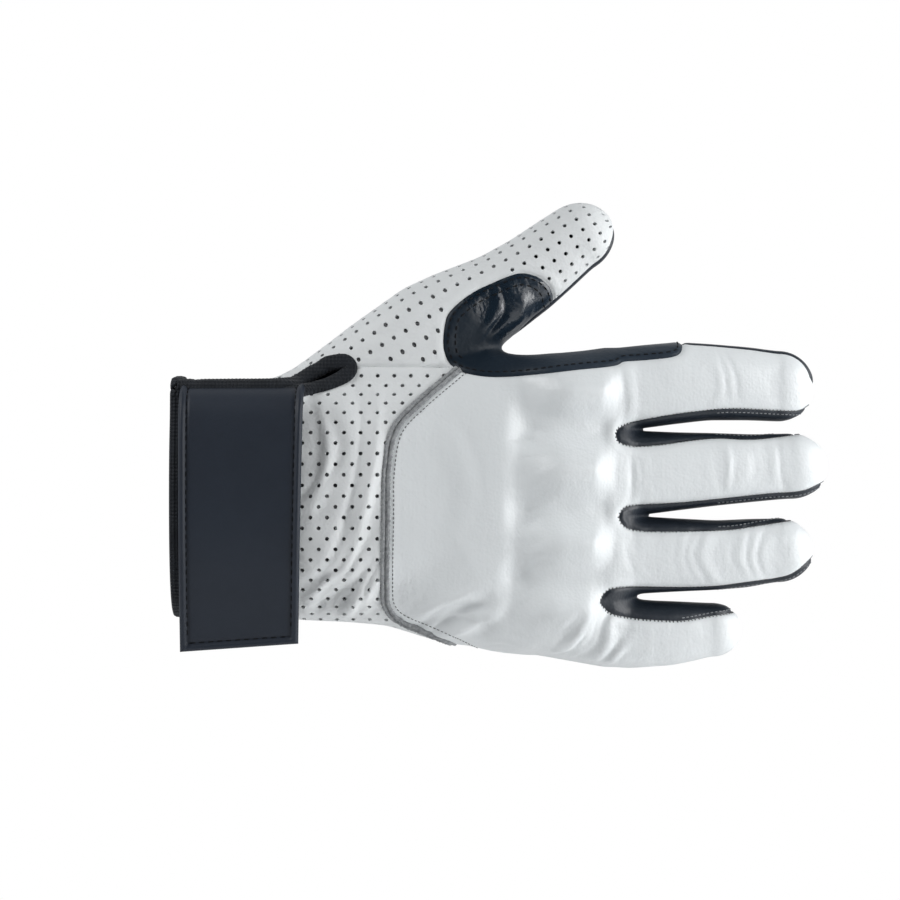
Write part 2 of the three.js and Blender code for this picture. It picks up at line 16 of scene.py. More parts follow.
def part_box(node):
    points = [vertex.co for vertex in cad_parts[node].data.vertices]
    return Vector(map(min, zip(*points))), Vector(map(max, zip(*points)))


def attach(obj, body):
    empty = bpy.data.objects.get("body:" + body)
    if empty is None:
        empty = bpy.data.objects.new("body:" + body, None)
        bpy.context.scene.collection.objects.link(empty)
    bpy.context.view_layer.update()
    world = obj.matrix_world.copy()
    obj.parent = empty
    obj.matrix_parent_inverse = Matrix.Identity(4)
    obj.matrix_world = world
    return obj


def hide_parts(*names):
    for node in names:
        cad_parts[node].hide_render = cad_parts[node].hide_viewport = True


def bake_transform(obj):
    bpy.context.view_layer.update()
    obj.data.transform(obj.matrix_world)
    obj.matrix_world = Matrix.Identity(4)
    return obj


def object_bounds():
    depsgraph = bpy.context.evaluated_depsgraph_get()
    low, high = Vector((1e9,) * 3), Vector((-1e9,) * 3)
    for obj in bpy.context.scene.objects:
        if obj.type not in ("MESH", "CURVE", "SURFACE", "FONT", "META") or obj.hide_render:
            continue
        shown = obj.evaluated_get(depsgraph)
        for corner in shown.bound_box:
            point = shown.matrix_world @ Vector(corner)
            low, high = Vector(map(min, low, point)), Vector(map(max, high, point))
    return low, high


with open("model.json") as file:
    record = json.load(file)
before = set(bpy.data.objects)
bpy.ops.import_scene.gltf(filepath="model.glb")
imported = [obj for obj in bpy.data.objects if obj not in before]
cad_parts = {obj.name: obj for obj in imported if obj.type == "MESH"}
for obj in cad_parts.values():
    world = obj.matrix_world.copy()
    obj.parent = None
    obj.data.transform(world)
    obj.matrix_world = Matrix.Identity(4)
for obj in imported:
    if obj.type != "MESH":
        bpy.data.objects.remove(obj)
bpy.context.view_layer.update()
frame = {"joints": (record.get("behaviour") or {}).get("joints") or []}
# A millimetre in metres, and the least number to divide by
MM = 0.001
TINY = 0.001

# Mesh of the body: its grid and reach, how it is evened out, and how squarely it faces the back for wrinkles
STEP = 1.0
MESH_LOW = np.array([-6.0, -31, -64])
MESH_HIGH = np.array([226.0, 31, 106])
RELAX_ROUNDS = 5
RELAX_SHARE = 0.6
FACING = (0.3, 0.75)

# Cuts: how near a point is moved onto one or counts as on it, and the least slope squared that allows a move
SNAP = 0.3
ON_CUT = 0.08
LEAST_SLOPE = 0.3

# Layers: thickness of each, and how deep its top lies under the leather's outer face
LEATHER = 1.2
LINING, LINING_DEPTH = 0.7, 1.7
SHELL, SHELL_DEPTH = 1.5, 1.7
FOAM, FOAM_DEPTH = 2.6, 3.6
ELASTIC, ELASTIC_DEPTH = 0.9, 1.9

# Stations of each tube: X, then its edges at the index side, the little side, the back and the palm.
# A cap is where the tube's round end begins and how long it is. A start is the same at its other end.
HAND = [
    (-6, 40, -39.6, -25, 25), (30, 40, -41, -25, 25), (46, 40, -42.2, -25, 25), (60, 41, -42.8, -23.6, 24.6),
    (73, 43.5, -44, -21.4, 23.9), (90, 46.5, -49.4, -20, 24.6), (101, 49.6, -51, -19.6, 25),
    (109, 50.4, -52.2, -19.2, 25), (116, 48.8, -52.2, -19, 24.8), (125, 47.2, -52.4, -18.6, 24.4),
    (140, 48.6, -55, -16, 22), (150, 50, -57, -12, 21),
]
HAND_CAP = (147, 12)
FINGERS = {
    "index": (
        [
            (128, 48.3, 23.6, -17, 18), (140, 49.3, 23.4, -15.4, 17.8), (150, 50.8, 23.2, -13, 17.5),
            (160, 51.9, 23.3, -10.5, 17.2), (171, 52.9, 24.8, -9.2, 17.2), (183, 52.3, 26.2, -7, 18.5),
            (197, 51.2, 26.2, -4, 19.5), (208, 49.8, 25.8, -1, 20),
        ],
        (207.4, 12.2),
    ),
    "middle": (
        [
            (128, 23.5, -6.4, -17.6, 18), (150, 22.9, -6.4, -13.6, 17.5), (160, 22.6, -6.3, -11, 17.2),
            (171, 22.1, -4.9, -9.2, 17.2), (186, 21.8, -3.1, -6.6, 18.6), (197, 21.4, -2, -4.4, 19.4),
            (210, 21.5, -0.8, -1.2, 20.2),
        ],
        (211.8, 12.6),
    ),
    "ring": (
        [
            (128, -6, -34.4, -17, 18), (150, -6.6, -34.2, -13.2, 17.5), (160, -6.7, -33.2, -10.6, 16.9),
            (171, -7.4, -32.6, -8.8, 16.8), (186, -8.2, -32, -6, 18), (197, -7.7, -31.2, -3.8, 18.8),
            (206, -7.6, -29.4, -1.3, 19.4),
        ],
        (207.4, 12),
    ),
    "little": (
        [
            (120, -33, -53, -14, 17), (145, -34.3, -57.6, -10.5, 16), (155, -34.6, -58.8, -8.4, 15.6),
            (163, -35.6, -58.3, -7.4, 15.6), (171, -35.9, -57.8, -6, 16), (180, -36.4, -56, -3.6, 16.6),
            (184, -36.6, -54.8, -2.4, 16.8),
        ],
        (184.6, 9.9),
    ),
}
# The thumb's stations lie in its own frame: along it, then its upper, lower, back and palm edges. The frame
# starts at the thumb's joint, lies deeper towards the palm, and is turned outward and towards the palm.
THUMB = [
    (-105, 12, -14, -12, 14), (-92, 14, -16, -13.5, 15), (-72, 16.1, -17, -14.6, 15.4),
    (-48, 18, -17, -15, 15.4), (-36, 16.6, -16.5, -14.4, 15), (-20, 13.8, -14.6, -12.6, 13.2),
    (-8, 13.4, -13.2, -11.8, 12), (4, 14, -10.8, -11.2, 11.4), (12, 14.2, -9, -10.4, 10.6),
]
THUMB_CAP = (12, 13.4)
THUMB_START = (-94, 22)
THUMB_DEPTH = 10
THUMB_ANGLE = 31
THUMB_DROOP = 4.8
# How a finger's tube starts inside the hand, how full the sections are, and how widely tubes run together
FINGER_START = 4
FINGER_RUN_IN = 24
SQUARENESS = 2.4
HAND_BLEND = 4
THUMB_BLEND = 5
FINGER_BLEND = 1.2

# Where the leather bends between two bodies: lengths to each side of a finger's root and middle joints
ZONES = {"index": (9.5, 10), "middle": (9.5, 10), "ring": (9.5, 10), "little": (7.2, 7.2)}
THUMB_ZONE = 8

# Outlines on the back, as X and Z, and the X of the hem
SADDLE = [
    (133, 62), (130.6, 66.4), (129.9, 69), (128.6, 71.8), (125.9, 74.3), (122.3, 75.9), (118.7, 76.4),
    (114, 75.2), (108.8, 72.9), (103.6, 70.5), (98.4, 66.9), (94.2, 62.7), (92.8, 58.5), (92.3, 52.3),
    (93.1, 48.1), (94.6, 45.4), (98.9, 42.7), (106.1, 41.2), (114, 41.1), (124.4, 41.9), (137.4, 43.5),
    (147.8, 44.5), (151.6, 45.2), (153.6, 46.3), (159, 46.7), (167.6, 47.5), (171.6, 48.4), (173.4, 50),
    (174, 53), (174.2, 57),
]
PIPING_LINE = [
    (99, 45), (96.2, 42.5), (84.3, 32.3), (75.8, 22.8), (73.1, 9.2), (72.8, -7.8), (72.4, -31.6),
    (73.4, -37.7), (77.5, -42.2), (87.7, -46.8), (95.5, -50.3), (104, -54.8),
]
SLIT = [
    (-10, 36.2), (2.4, 36), (6, 33.8), (34, 33.8), (43.5, 36.6), (52, 38.4), (58.2, 41.2), (61.2, 44.2),
    (58.6, 45.9), (52.4, 45), (46.4, 41.2), (42, 38.8), (36, 37.5), (-10, 37.2),
]
HEM = 1.2
# The cuff's edge above the slit stands forward: its middle in Y and Z, rise, reach and where it ends in X
CORNER = (-17, 36.5)
CORNER_RISE = 5
CORNER_REACH = 6.5
CORNER_END = (38, 50)
# Edges of the black side strips: the finger above, then the finger below each gap
GAPS = {
    ("index", "middle"): (
        [(151, 21.4), (152.3, 23.5), (157.4, 25.2), (167.6, 27.2), (177.8, 28.6), (190, 29.7), (206.6, 29.1),
         (213.5, 29), (217, 30.6), (220, 33), (226, 37)],
        [(151, 21), (152.3, 18.7), (157.4, 17.6), (166.4, 18.2), (183, 20.3), (198, 20), (215, 21.6),
         (226, 22)],
    ),
    ("middle", "ring"): (
        [(152, -6.6), (153.5, -4.2), (157, -3.2), (172.5, -2.4), (187.7, -1), (202.8, 0.6), (214, 1.4),
         (220, 3.4), (228, 7.5)],
        [(152, -7), (153.5, -9.4), (157.4, -10.9), (167.6, -11.4), (189, -10.9), (199, -9.6), (212, -7.9),
         (228, -6.5)],
    ),
    ("ring", "little"): (
        [(146, -34.8), (147.5, -32.4), (152.3, -31), (172.5, -31.2), (184.6, -30.9), (195.2, -29.7),
         (206.6, -28.2), (212, -26.6), (218, -22), (226, -14)],
        [(145.6, -35.2), (147, -37.4), (149.7, -39.6), (157.3, -41.1), (168.7, -42), (174.8, -41.9),
         (183.9, -40.4), (190.7, -39.4), (204, -37), (226, -36)],
    ),
}

# Knuckle protector: the slope up to its ridge and the drop past it, the climb to a lobe on each knuckle, the
# pockets between them, and where it fades out. Its lengths along the hand are counted from the ridge.
RIDGE = 112.5
RIDGE_SHIFT = ([-40, -22, -10, 8, 28, 40], [-2.4, -1.2, 0, 0, 1.6, 3])
RIDGE_SLOPE, RIDGE_RISE = (-26, 0), 0.8
RIDGE_EDGE, RIDGE_DROP = (-1, 5), 0.95
CLIMB, CLIMB_RISE = (4, 22), 1.2
LOBES, LOBE_RISE = (37, 9, -16, -39), 4.2
VALLEYS, VALLEY_DEPTH = (23, -4, -26), 1.9
KNUCKLE_SPREAD = 7
POCKET, POCKET_SPREAD, POCKET_DEPTH = 8, 6, 3.0
FINGER_FADE = (30.5, 38.5)
LITTLE_FADE = (-54, -38)
INDEX_FADE = (34, 48)
PALM_FADE = (-9, 0)

# Wrinkles of the leather on the back, in patches: middle, half size, direction, spacing and height
WRINKLES = [
    ((57, 16), (14, 22), 84, 7, 0.8), ((56, -20), (15, 24), 62, 6.5, 1.0),
    ((62, -38), (12, 8), 40, 4.5, 0.8), ((94, -41), (19, 9), 24, 5, 1.0),
    ((122, -51), (20, 5), 12, 3.6, 0.8), ((142, -49), (13, 9), 50, 3.6, 1.0),
    ((91, 4), (13, 34), 105, 13, 0.6), ((121, -2), (8, 38), 12, 3.4, 0.3), ((156, 8), (6, 40), 90, 4, 0.3),
    ((194, 39), (20, 10), 92, 4.5, 0.3), ((196, 10), (20, 10), 90, 4.5, 0.35),
    ((192, -20), (20, 10), 88, 4.5, 0.3), ((170, -49), (15, 8), 86, 4, 0.3),
    ((116, 84), (26, 9), 28, 4.6, 0.45), ((78, 56), (20, 14), 20, 9, 0.6),
    ((114, 63.5), (11, 9), 78, 4.6, 1.2),
]
# The main folds and creases: height, width and the line in X and Z that each follows
CREASES = [
    (1.6, 2.2, [(70, 38), (69.5, 18), (66, -2), (60.5, -20), (54, -30)]),
    (-1.3, 1.7, [(65, 36), (64.6, 18), (61.4, -1), (56, -18), (49, -28)]),
    (0.8, 2.0, [(50, 34), (52.4, 24), (53.5, 14), (51.4, 3), (47, -8)]),
    (-1.6, 1.6, [(69.4, -20), (62.5, -29), (54, -38)]), (1.4, 1.8, [(70, -27), (64.4, -34), (58, -42)]),
    (-1.3, 1.5, [(61.1, -27.5), (54.2, -34), (46, -39)]), (1.2, 1.7, [(56, -25), (50, -31), (45, -35)]),
    (-1.2, 1.7, [(80, -46), (95, -39), (110, -33)]), (1.1, 1.9, [(78, -42), (93, -35.4), (108, -28.6)]),
    (1.0, 1.6, [(88, -48.6), (100, -44), (112, -39)]), (-0.5, 1.0, [(155.8, 15), (156.4, 6), (155.6, -2)]),
    (0.6, 1.0, [(188.8, 2), (189.6, 10), (188.8, 18)]), (-1.8, 7, [(72, -33), (85, -26.5), (99, -19)]),
]

# Shape of the wrinkles: how far their warp and their folds run, how round a fold is, and how a crease fades
WARP_RUN, WARP_SEED = 3, 100
FOLD_RUN, FOLD_SHIFT = 4, 20
FOLD_ROUND, FOLD_MIDDLE = 0.015, 0.6
CREASE_FADE = 0.7

# Seams: a groove along each, a swell beside it, and finer triangles near it
GROOVE, GROOVE_WIDTH = 0.6, 0.62
PUFF, PUFF_PLACE, PUFF_WIDTH = 0.16, 2.6, 1.3
SEAM_ZONE, FINE = 2.4, 0.62

# Punched holes: radius, least gap to a seam, and pitch along and round the cuff and the thumb
HOLE_RADIUS = 0.7
HOLE_MARGIN = 0.7
CUFF_PITCH = (5.6, 7.2)
THUMB_PITCH = (4.7, 4.3)

JOINTS = {joint["name"]: np.array(joint["pos_m"]) / MM for joint in frame["joints"]}


# Small numeric helpers

def smoothstep(low, high, x):
    t = np.clip((x - low) / (high - low), 0, 1)
    return t * t * (3 - 2 * t)


def bell(x, middle, width):
    return np.exp(-((x - middle) / width) ** 2)


def mix(a, b, share):
    return a * (1 - share) + b * share


def unit(rows, least=1e-9):
    rows = np.asarray(rows, float)
    return rows / np.maximum(np.linalg.norm(rows, axis=-1, keepdims=True), least)


def tangent(vectors, normals):
    """The part of vectors that runs along the surface."""
    return vectors - np.sum(vectors * normals, axis=1)[:, None] * normals


def profile(xs, ys, soften=3.0, grain=0.5, margin=60):
    """A smooth function through given stations."""
    reach = 3 * soften
    fine = np.arange(xs[0] - margin, xs[-1] + margin, grain)
    window = np.arange(-reach, reach + grain, grain)
    weight = np.exp(-(window / soften) ** 2)
    line = np.pad(np.interp(fine, xs, ys), len(window) // 2, mode="edge")
    soft = np.convolve(line, weight / weight.sum(), mode="valid")[: len(fine)]
    return lambda x: np.interp(x, fine, soft)


def curve(points, per=8):
    """A smooth open line through the points."""
    points = np.array(points, float)
    ends = np.vstack([2 * points[0] - points[1], points, 2 * points[-1] - points[-2]])
    t = np.linspace(0, 1, per, endpoint=False)[:, None]
    spans = []
    for a, b, c, d in zip(ends, ends[1:], ends[2:], ends[3:]):
        spans.append(0.5 * (2 * b + (c - a) * t + (2 * a - 5 * b + 4 * c - d) * t**2
                            + (3 * b - a - 3 * c + d) * t**3))
    return np.vstack(spans + [points[-1:]])


def run_along(line):
    """Length from the start of a line to each of its points."""
    return np.concatenate([[0], np.cumsum(np.linalg.norm(np.diff(line, axis=0), axis=1))])


def to_line(points, line):
    """Distance to a polyline, and how far along it the nearest point lies."""
    best = np.full(len(points), np.inf)
    along = np.zeros(len(points))
    run = 0.0
    for a, b in zip(line, line[1:]):
        span = b - a
        length = np.linalg.norm(span)
        t = np.clip((points - a) @ span / length**2, 0, 1)
        gap = np.linalg.norm(points - a - t[:, None] * span, axis=1)
        closer = gap < best
        best[closer] = gap[closer]
        along[closer] = (run + t * length)[closer]
        run += length
    return best, along


def inside_outline(points, outline):
    x, z = points.T
    inside = np.zeros(len(points), bool)
    for (x0, z0), (x1, z1) in zip(outline, np.roll(outline, -1, axis=0)):
        crosses = (z0 > z) != (z1 > z)
        with np.errstate(divide="ignore", invalid="ignore"):
            inside ^= crosses & (x < (x1 - x0) * (z - z0) / (z1 - z0) + x0)
    return inside


def outline_field(outline):
    """Signed distance to a closed outline in X and Z, below zero inside."""
    outline = np.array(outline, float)
    closed = np.vstack([outline, outline[:1]])

    def field(points):
        flat = points[:, [0, 2]]
        gap, _ = to_line(flat, closed)
        return np.where(inside_outline(flat, outline), -gap, gap)
    return field


# The body of the glove as a distance: below zero inside

class Tube:
    """A tube along X, fuller than an ellipse in section, with a round end and often a round start."""

    def __init__(self, stations, cap, start=(-1000.0, 1.0)):
        x, top, bottom, back, palm = np.array(stations, float).T
        self.across = profile(x, (top + bottom) / 2)
        self.half_width = profile(x, (top - bottom) / 2)
        self.depth = profile(x, (back + palm) / 2)
        self.half_depth = profile(x, (palm - back) / 2)
        self.cap, self.length = cap
        self.start, self.start_length = start

    def distance(self, points):
        """Distance to the tube, true near its surface and below zero inside."""
        x = points[:, 0]
        base = np.clip(x, self.start, self.cap)
        half_depth, half_width = self.half_depth(base), self.half_width(base)
        y = np.abs(points[:, 1] - self.depth(base)) / half_depth
        z = np.abs(points[:, 2] - self.across(base)) / half_width
        radius = np.maximum((y**SQUARENESS + z**SQUARENESS) ** (1 / SQUARENESS), TINY)
        ahead = np.maximum(x - self.cap, 0) / self.length + np.maximum(self.start - x, 0) / self.start_length
        rho = np.sqrt(radius**2 + ahead**2)
        slope_y = (y / radius) ** (SQUARENESS - 1) * radius / half_depth
        slope_z = (z / radius) ** (SQUARENESS - 1) * radius / half_width
        length = np.where(x < self.cap, self.start_length, self.length)
        steepness = np.sqrt(slope_y**2 + slope_z**2 + (ahead / length) ** 2) / rho
        return (rho - 1) / np.maximum(steepness, TINY)


def soft_union(a, b, width):
    """Two bodies run together over a width."""
    share = np.clip(0.5 + 0.5 * (b - a) / width, 0, 1)
    return mix(b, a, share) - width * share * (1 - share)


HAND_TUBE = Tube(HAND, HAND_CAP)
THUMB_TUBE = Tube(THUMB, THUMB_CAP, THUMB_START)
FINGER_TUBES = {}
for name, (stations, cap) in FINGERS.items():
    FINGER_TUBES[name] = Tube(stations, cap, (stations[0][0] + FINGER_START, FINGER_RUN_IN))
THUMB_ORIGIN = JOINTS["thumb_bend"] * [1, 0, 1] + [0, THUMB_DEPTH, 0]
TURN, DROOP = math.radians(THUMB_ANGLE), math.radians(THUMB_DROOP)
THUMB_ALONG = np.array([
    math.cos(TURN) * math.cos(DROOP), math.sin(DROOP), math.sin(TURN) * math.cos(DROOP)])
THUMB_ACROSS = unit(np.array([0, 0, 1.0]) - THUMB_ALONG * THUMB_ALONG[2])
THUMB_AXES = np.stack([THUMB_ALONG, np.cross(THUMB_ACROSS, THUMB_ALONG), THUMB_ACROSS])


def in_thumb(points):
    """Points in the thumb's own frame: along it, deeper and across."""
    return (points - THUMB_ORIGIN) @ THUMB_AXES.T


def relief(points):
    """Rise of the back over the knuckle protector."""
    x, y, z = points.T
    ahead = x - np.interp(z, *RIDGE_SHIFT) - RIDGE
    lobes = sum(bell(z, middle, KNUCKLE_SPREAD) for middle in LOBES)
    valleys = sum(bell(z, middle, KNUCKLE_SPREAD) for middle in VALLEYS)
    rise = RIDGE_RISE * smoothstep(*RIDGE_SLOPE, ahead) - RIDGE_DROP * smoothstep(*RIDGE_EDGE, ahead)
    rise += smoothstep(*CLIMB, ahead) * (CLIMB_RISE + LOBE_RISE * lobes - VALLEY_DEPTH * valleys)
    rise -= POCKET_DEPTH * valleys * bell(ahead, POCKET, POCKET_SPREAD)
    for fade, place in ((FINGER_FADE, ahead), (INDEX_FADE, z), (PALM_FADE, y)):
        rise *= 1 - smoothstep(*fade, place)
    return rise * smoothstep(*LITTLE_FADE, z)


def corner(points):
    """Rise of the cuff's edge above the slit, which stands forward over the strap."""
    x, y, z = points.T
    gap = np.hypot(y - CORNER[0], z - CORNER[1])
    return CORNER_RISE * bell(gap, 0, CORNER_REACH) * (1 - smoothstep(*CORNER_END, x))


def soft_noise(x, z, seed, size=64):
    """Smooth random values from -1 to 1, that change over one unit of x and z."""
    table = np.random.default_rng(seed).uniform(-1, 1, (size, size))
    i, j = np.floor(x).astype(int), np.floor(z).astype(int)
    u, w = smoothstep(0, 1, x - i), smoothstep(0, 1, z - j)
    near = mix(table[i % size, j % size], table[(i + 1) % size, j % size], u)
    far = mix(table[i % size, (j + 1) % size], table[(i + 1) % size, (j + 1) % size], u)
    return mix(near, far, w)


def wrinkles(points):
    """Rise of the leather's wrinkles: round folds with sharp creases between them."""
    total = np.zeros(len(points))
    for seed, (middle, reach, direction, pitch, height) in enumerate(WRINKLES):
        offset = points[:, [0, 2]] - middle
        mask = np.exp(-np.sum((offset / reach) ** 4, axis=1))
        turn = math.radians(direction)
        along = offset @ (math.cos(turn), math.sin(turn)) / pitch
        across = offset @ (-math.sin(turn), math.cos(turn)) / pitch
        warp = soft_noise(along / WARP_RUN, across / WARP_RUN, seed + WARP_SEED)
        wave = soft_noise(along / FOLD_RUN + FOLD_SHIFT, across + warp + FOLD_SHIFT, seed)
        total += height * mask * (2 * np.sqrt(wave**2 + FOLD_ROUND) - FOLD_MIDDLE)
    for height, width, line in CREASES:
        line = curve(line, per=4)
        gap, along = to_line(points[:, [0, 2]], line)
        fade = np.sin(np.pi * np.clip(along / run_along(line)[-1], 0, 1)) ** CREASE_FADE
        total += height * fade * bell(gap, 0, width)
    return total


def glove_distance(points):
    """Distance to the glove's smooth outer surface."""
    fingers = None
    for tube in FINGER_TUBES.values():
        gap = tube.distance(points)
        fingers = gap if fingers is None else soft_union(fingers, gap, FINGER_BLEND)
    body = soft_union(HAND_TUBE.distance(points), fingers, HAND_BLEND) - relief(points) - corner(points)
    return soft_union(body, THUMB_TUBE.distance(in_thumb(points)), THUMB_BLEND)


def slope(field, points, reach=0.05):
    """Slope of a field at points."""
    return np.stack([field(points + e) - field(points - e) for e in np.eye(3) * reach], axis=1) / (2 * reach)


def outward(points):
    """Normals of the body at points on it."""
    return unit(slope(glove_distance, points, reach=0.2))


# Meshing

def edges_of(faces):
    """Edges of triangles or quads: the first side of each face, then the second of each, and so on."""
    return np.stack([faces.T, np.roll(faces.T, -1, axis=0)], axis=-1).reshape(-1, 2)


def split_quads(quads):
    """Two triangles for each quad."""
    return np.vstack([quads[:, [0, 1, 2]], quads[:, [0, 2, 3]]])


def sums(numbers, rows, count):
    """Sums of the rows that share a number."""
    return np.stack([np.bincount(numbers, column, count) for column in rows.T], axis=1)


def boundary_edges(triangles):
    """Edges with a triangle on one side only."""
    edges = edges_of(triangles)
    keys = np.sort(edges, axis=1)
    _, index, count = np.unique(keys, axis=0, return_inverse=True, return_counts=True)
    return edges[count[index.ravel()] == 1]


def face_normals(points, triangles):
    """Normals of triangles, as long as twice their areas."""
    a, b, c = (points[triangles[:, i]] for i in range(3))
    return np.cross(b - a, c - a)


def point_normals(points, triangles):
    """Normals at points, from the triangles round each."""
    faces = face_normals(points, triangles)
    return unit(sum(sums(corners, faces, len(points)) for corners in triangles.T))


def surface_net(values, low, step):
    """One point for each grid cell that the surface crosses, and quads that join them."""
    inside = values < 0
    size = np.array(values.shape) - 1
    count = np.zeros(size, np.int8)
    for i, j, k in np.ndindex(2, 2, 2):
        count += inside[i: i + size[0], j: j + size[1], k: k + size[2]]
    crossed = (count > 0) & (count < 8)
    cells = np.argwhere(crossed)
    ids = np.full(size, -1)
    ids[crossed] = np.arange(len(cells))
    total, hits = np.zeros((len(cells), 3)), np.zeros(len(cells))
    quads = []
    for axis in range(3):
        ahead = np.eye(3, dtype=int)[axis]
        u, w = (np.eye(3, dtype=int)[(axis + turn) % 3] for turn in (1, 2))
        for side_u, side_w in np.ndindex(2, 2):
            start = cells + side_u * u + side_w * w
            a, b = values[tuple(start.T)], values[tuple((start + ahead).T)]
            hit = (a < 0) != (b < 0)
            share = a[hit] / (a[hit] - b[hit])
            total[hit] += start[hit] + share[:, None] * ahead
            hits[hit] += 1
        changes = np.argwhere(np.diff(inside, axis=axis))
        changes = changes[np.all((changes >= u + w) & (changes < size), axis=1)]
        loop = np.stack([ids[tuple((changes - shift).T)] for shift in (0 * u, u, u + w, w)], axis=1)
        is_out = inside[tuple(changes.T)]
        quads.append(np.where(is_out[:, None], loop, loop[:, ::-1]))
    return low + step * total / hits[:, None], np.vstack(quads)


def mesh_body():
    """The whole outer surface: relaxed, set onto the body, then wrinkled where it faces the back."""
    axes = [np.arange(low, high, STEP) for low, high in zip(MESH_LOW, MESH_HIGH)]
    grid = np.stack(np.meshgrid(*axes, indexing="ij"), axis=-1)
    values = np.concatenate([glove_distance(slab.reshape(-1, 3)) for slab in grid])
    points, quads = surface_net(values.reshape(grid.shape[:3]), MESH_LOW, STEP)
    triangles = split_quads(quads)
    edges = edges_of(quads)
    edges = np.vstack([edges, edges[:, ::-1]])
    degree = np.bincount(edges[:, 0], minlength=len(points))[:, None]
    for _ in range(RELAX_ROUNDS):
        mean = sums(edges[:, 0], points[edges[:, 1]], len(points)) / degree
        normals = point_normals(points, triangles)
        points = points + RELAX_SHARE * tangent(mean - points, normals)
        points = points - glove_distance(points)[:, None] * normals
    normals = point_normals(points, triangles)
    facing = smoothstep(*FACING, -normals[:, 1])
    points = points + (facing * wrinkles(points))[:, None] * normals
    a, b, c, d = quads.T
    is_long = np.linalg.norm(points[a] - points[c], axis=1) > np.linalg.norm(points[b] - points[d], axis=1)
    first = np.where(is_long[:, None], np.stack([a, b, d], 1), np.stack([a, b, c], 1))
    second = np.where(is_long[:, None], np.stack([b, c, d], 1), np.stack([a, c, d], 1))
    return points, np.vstack([first, second])


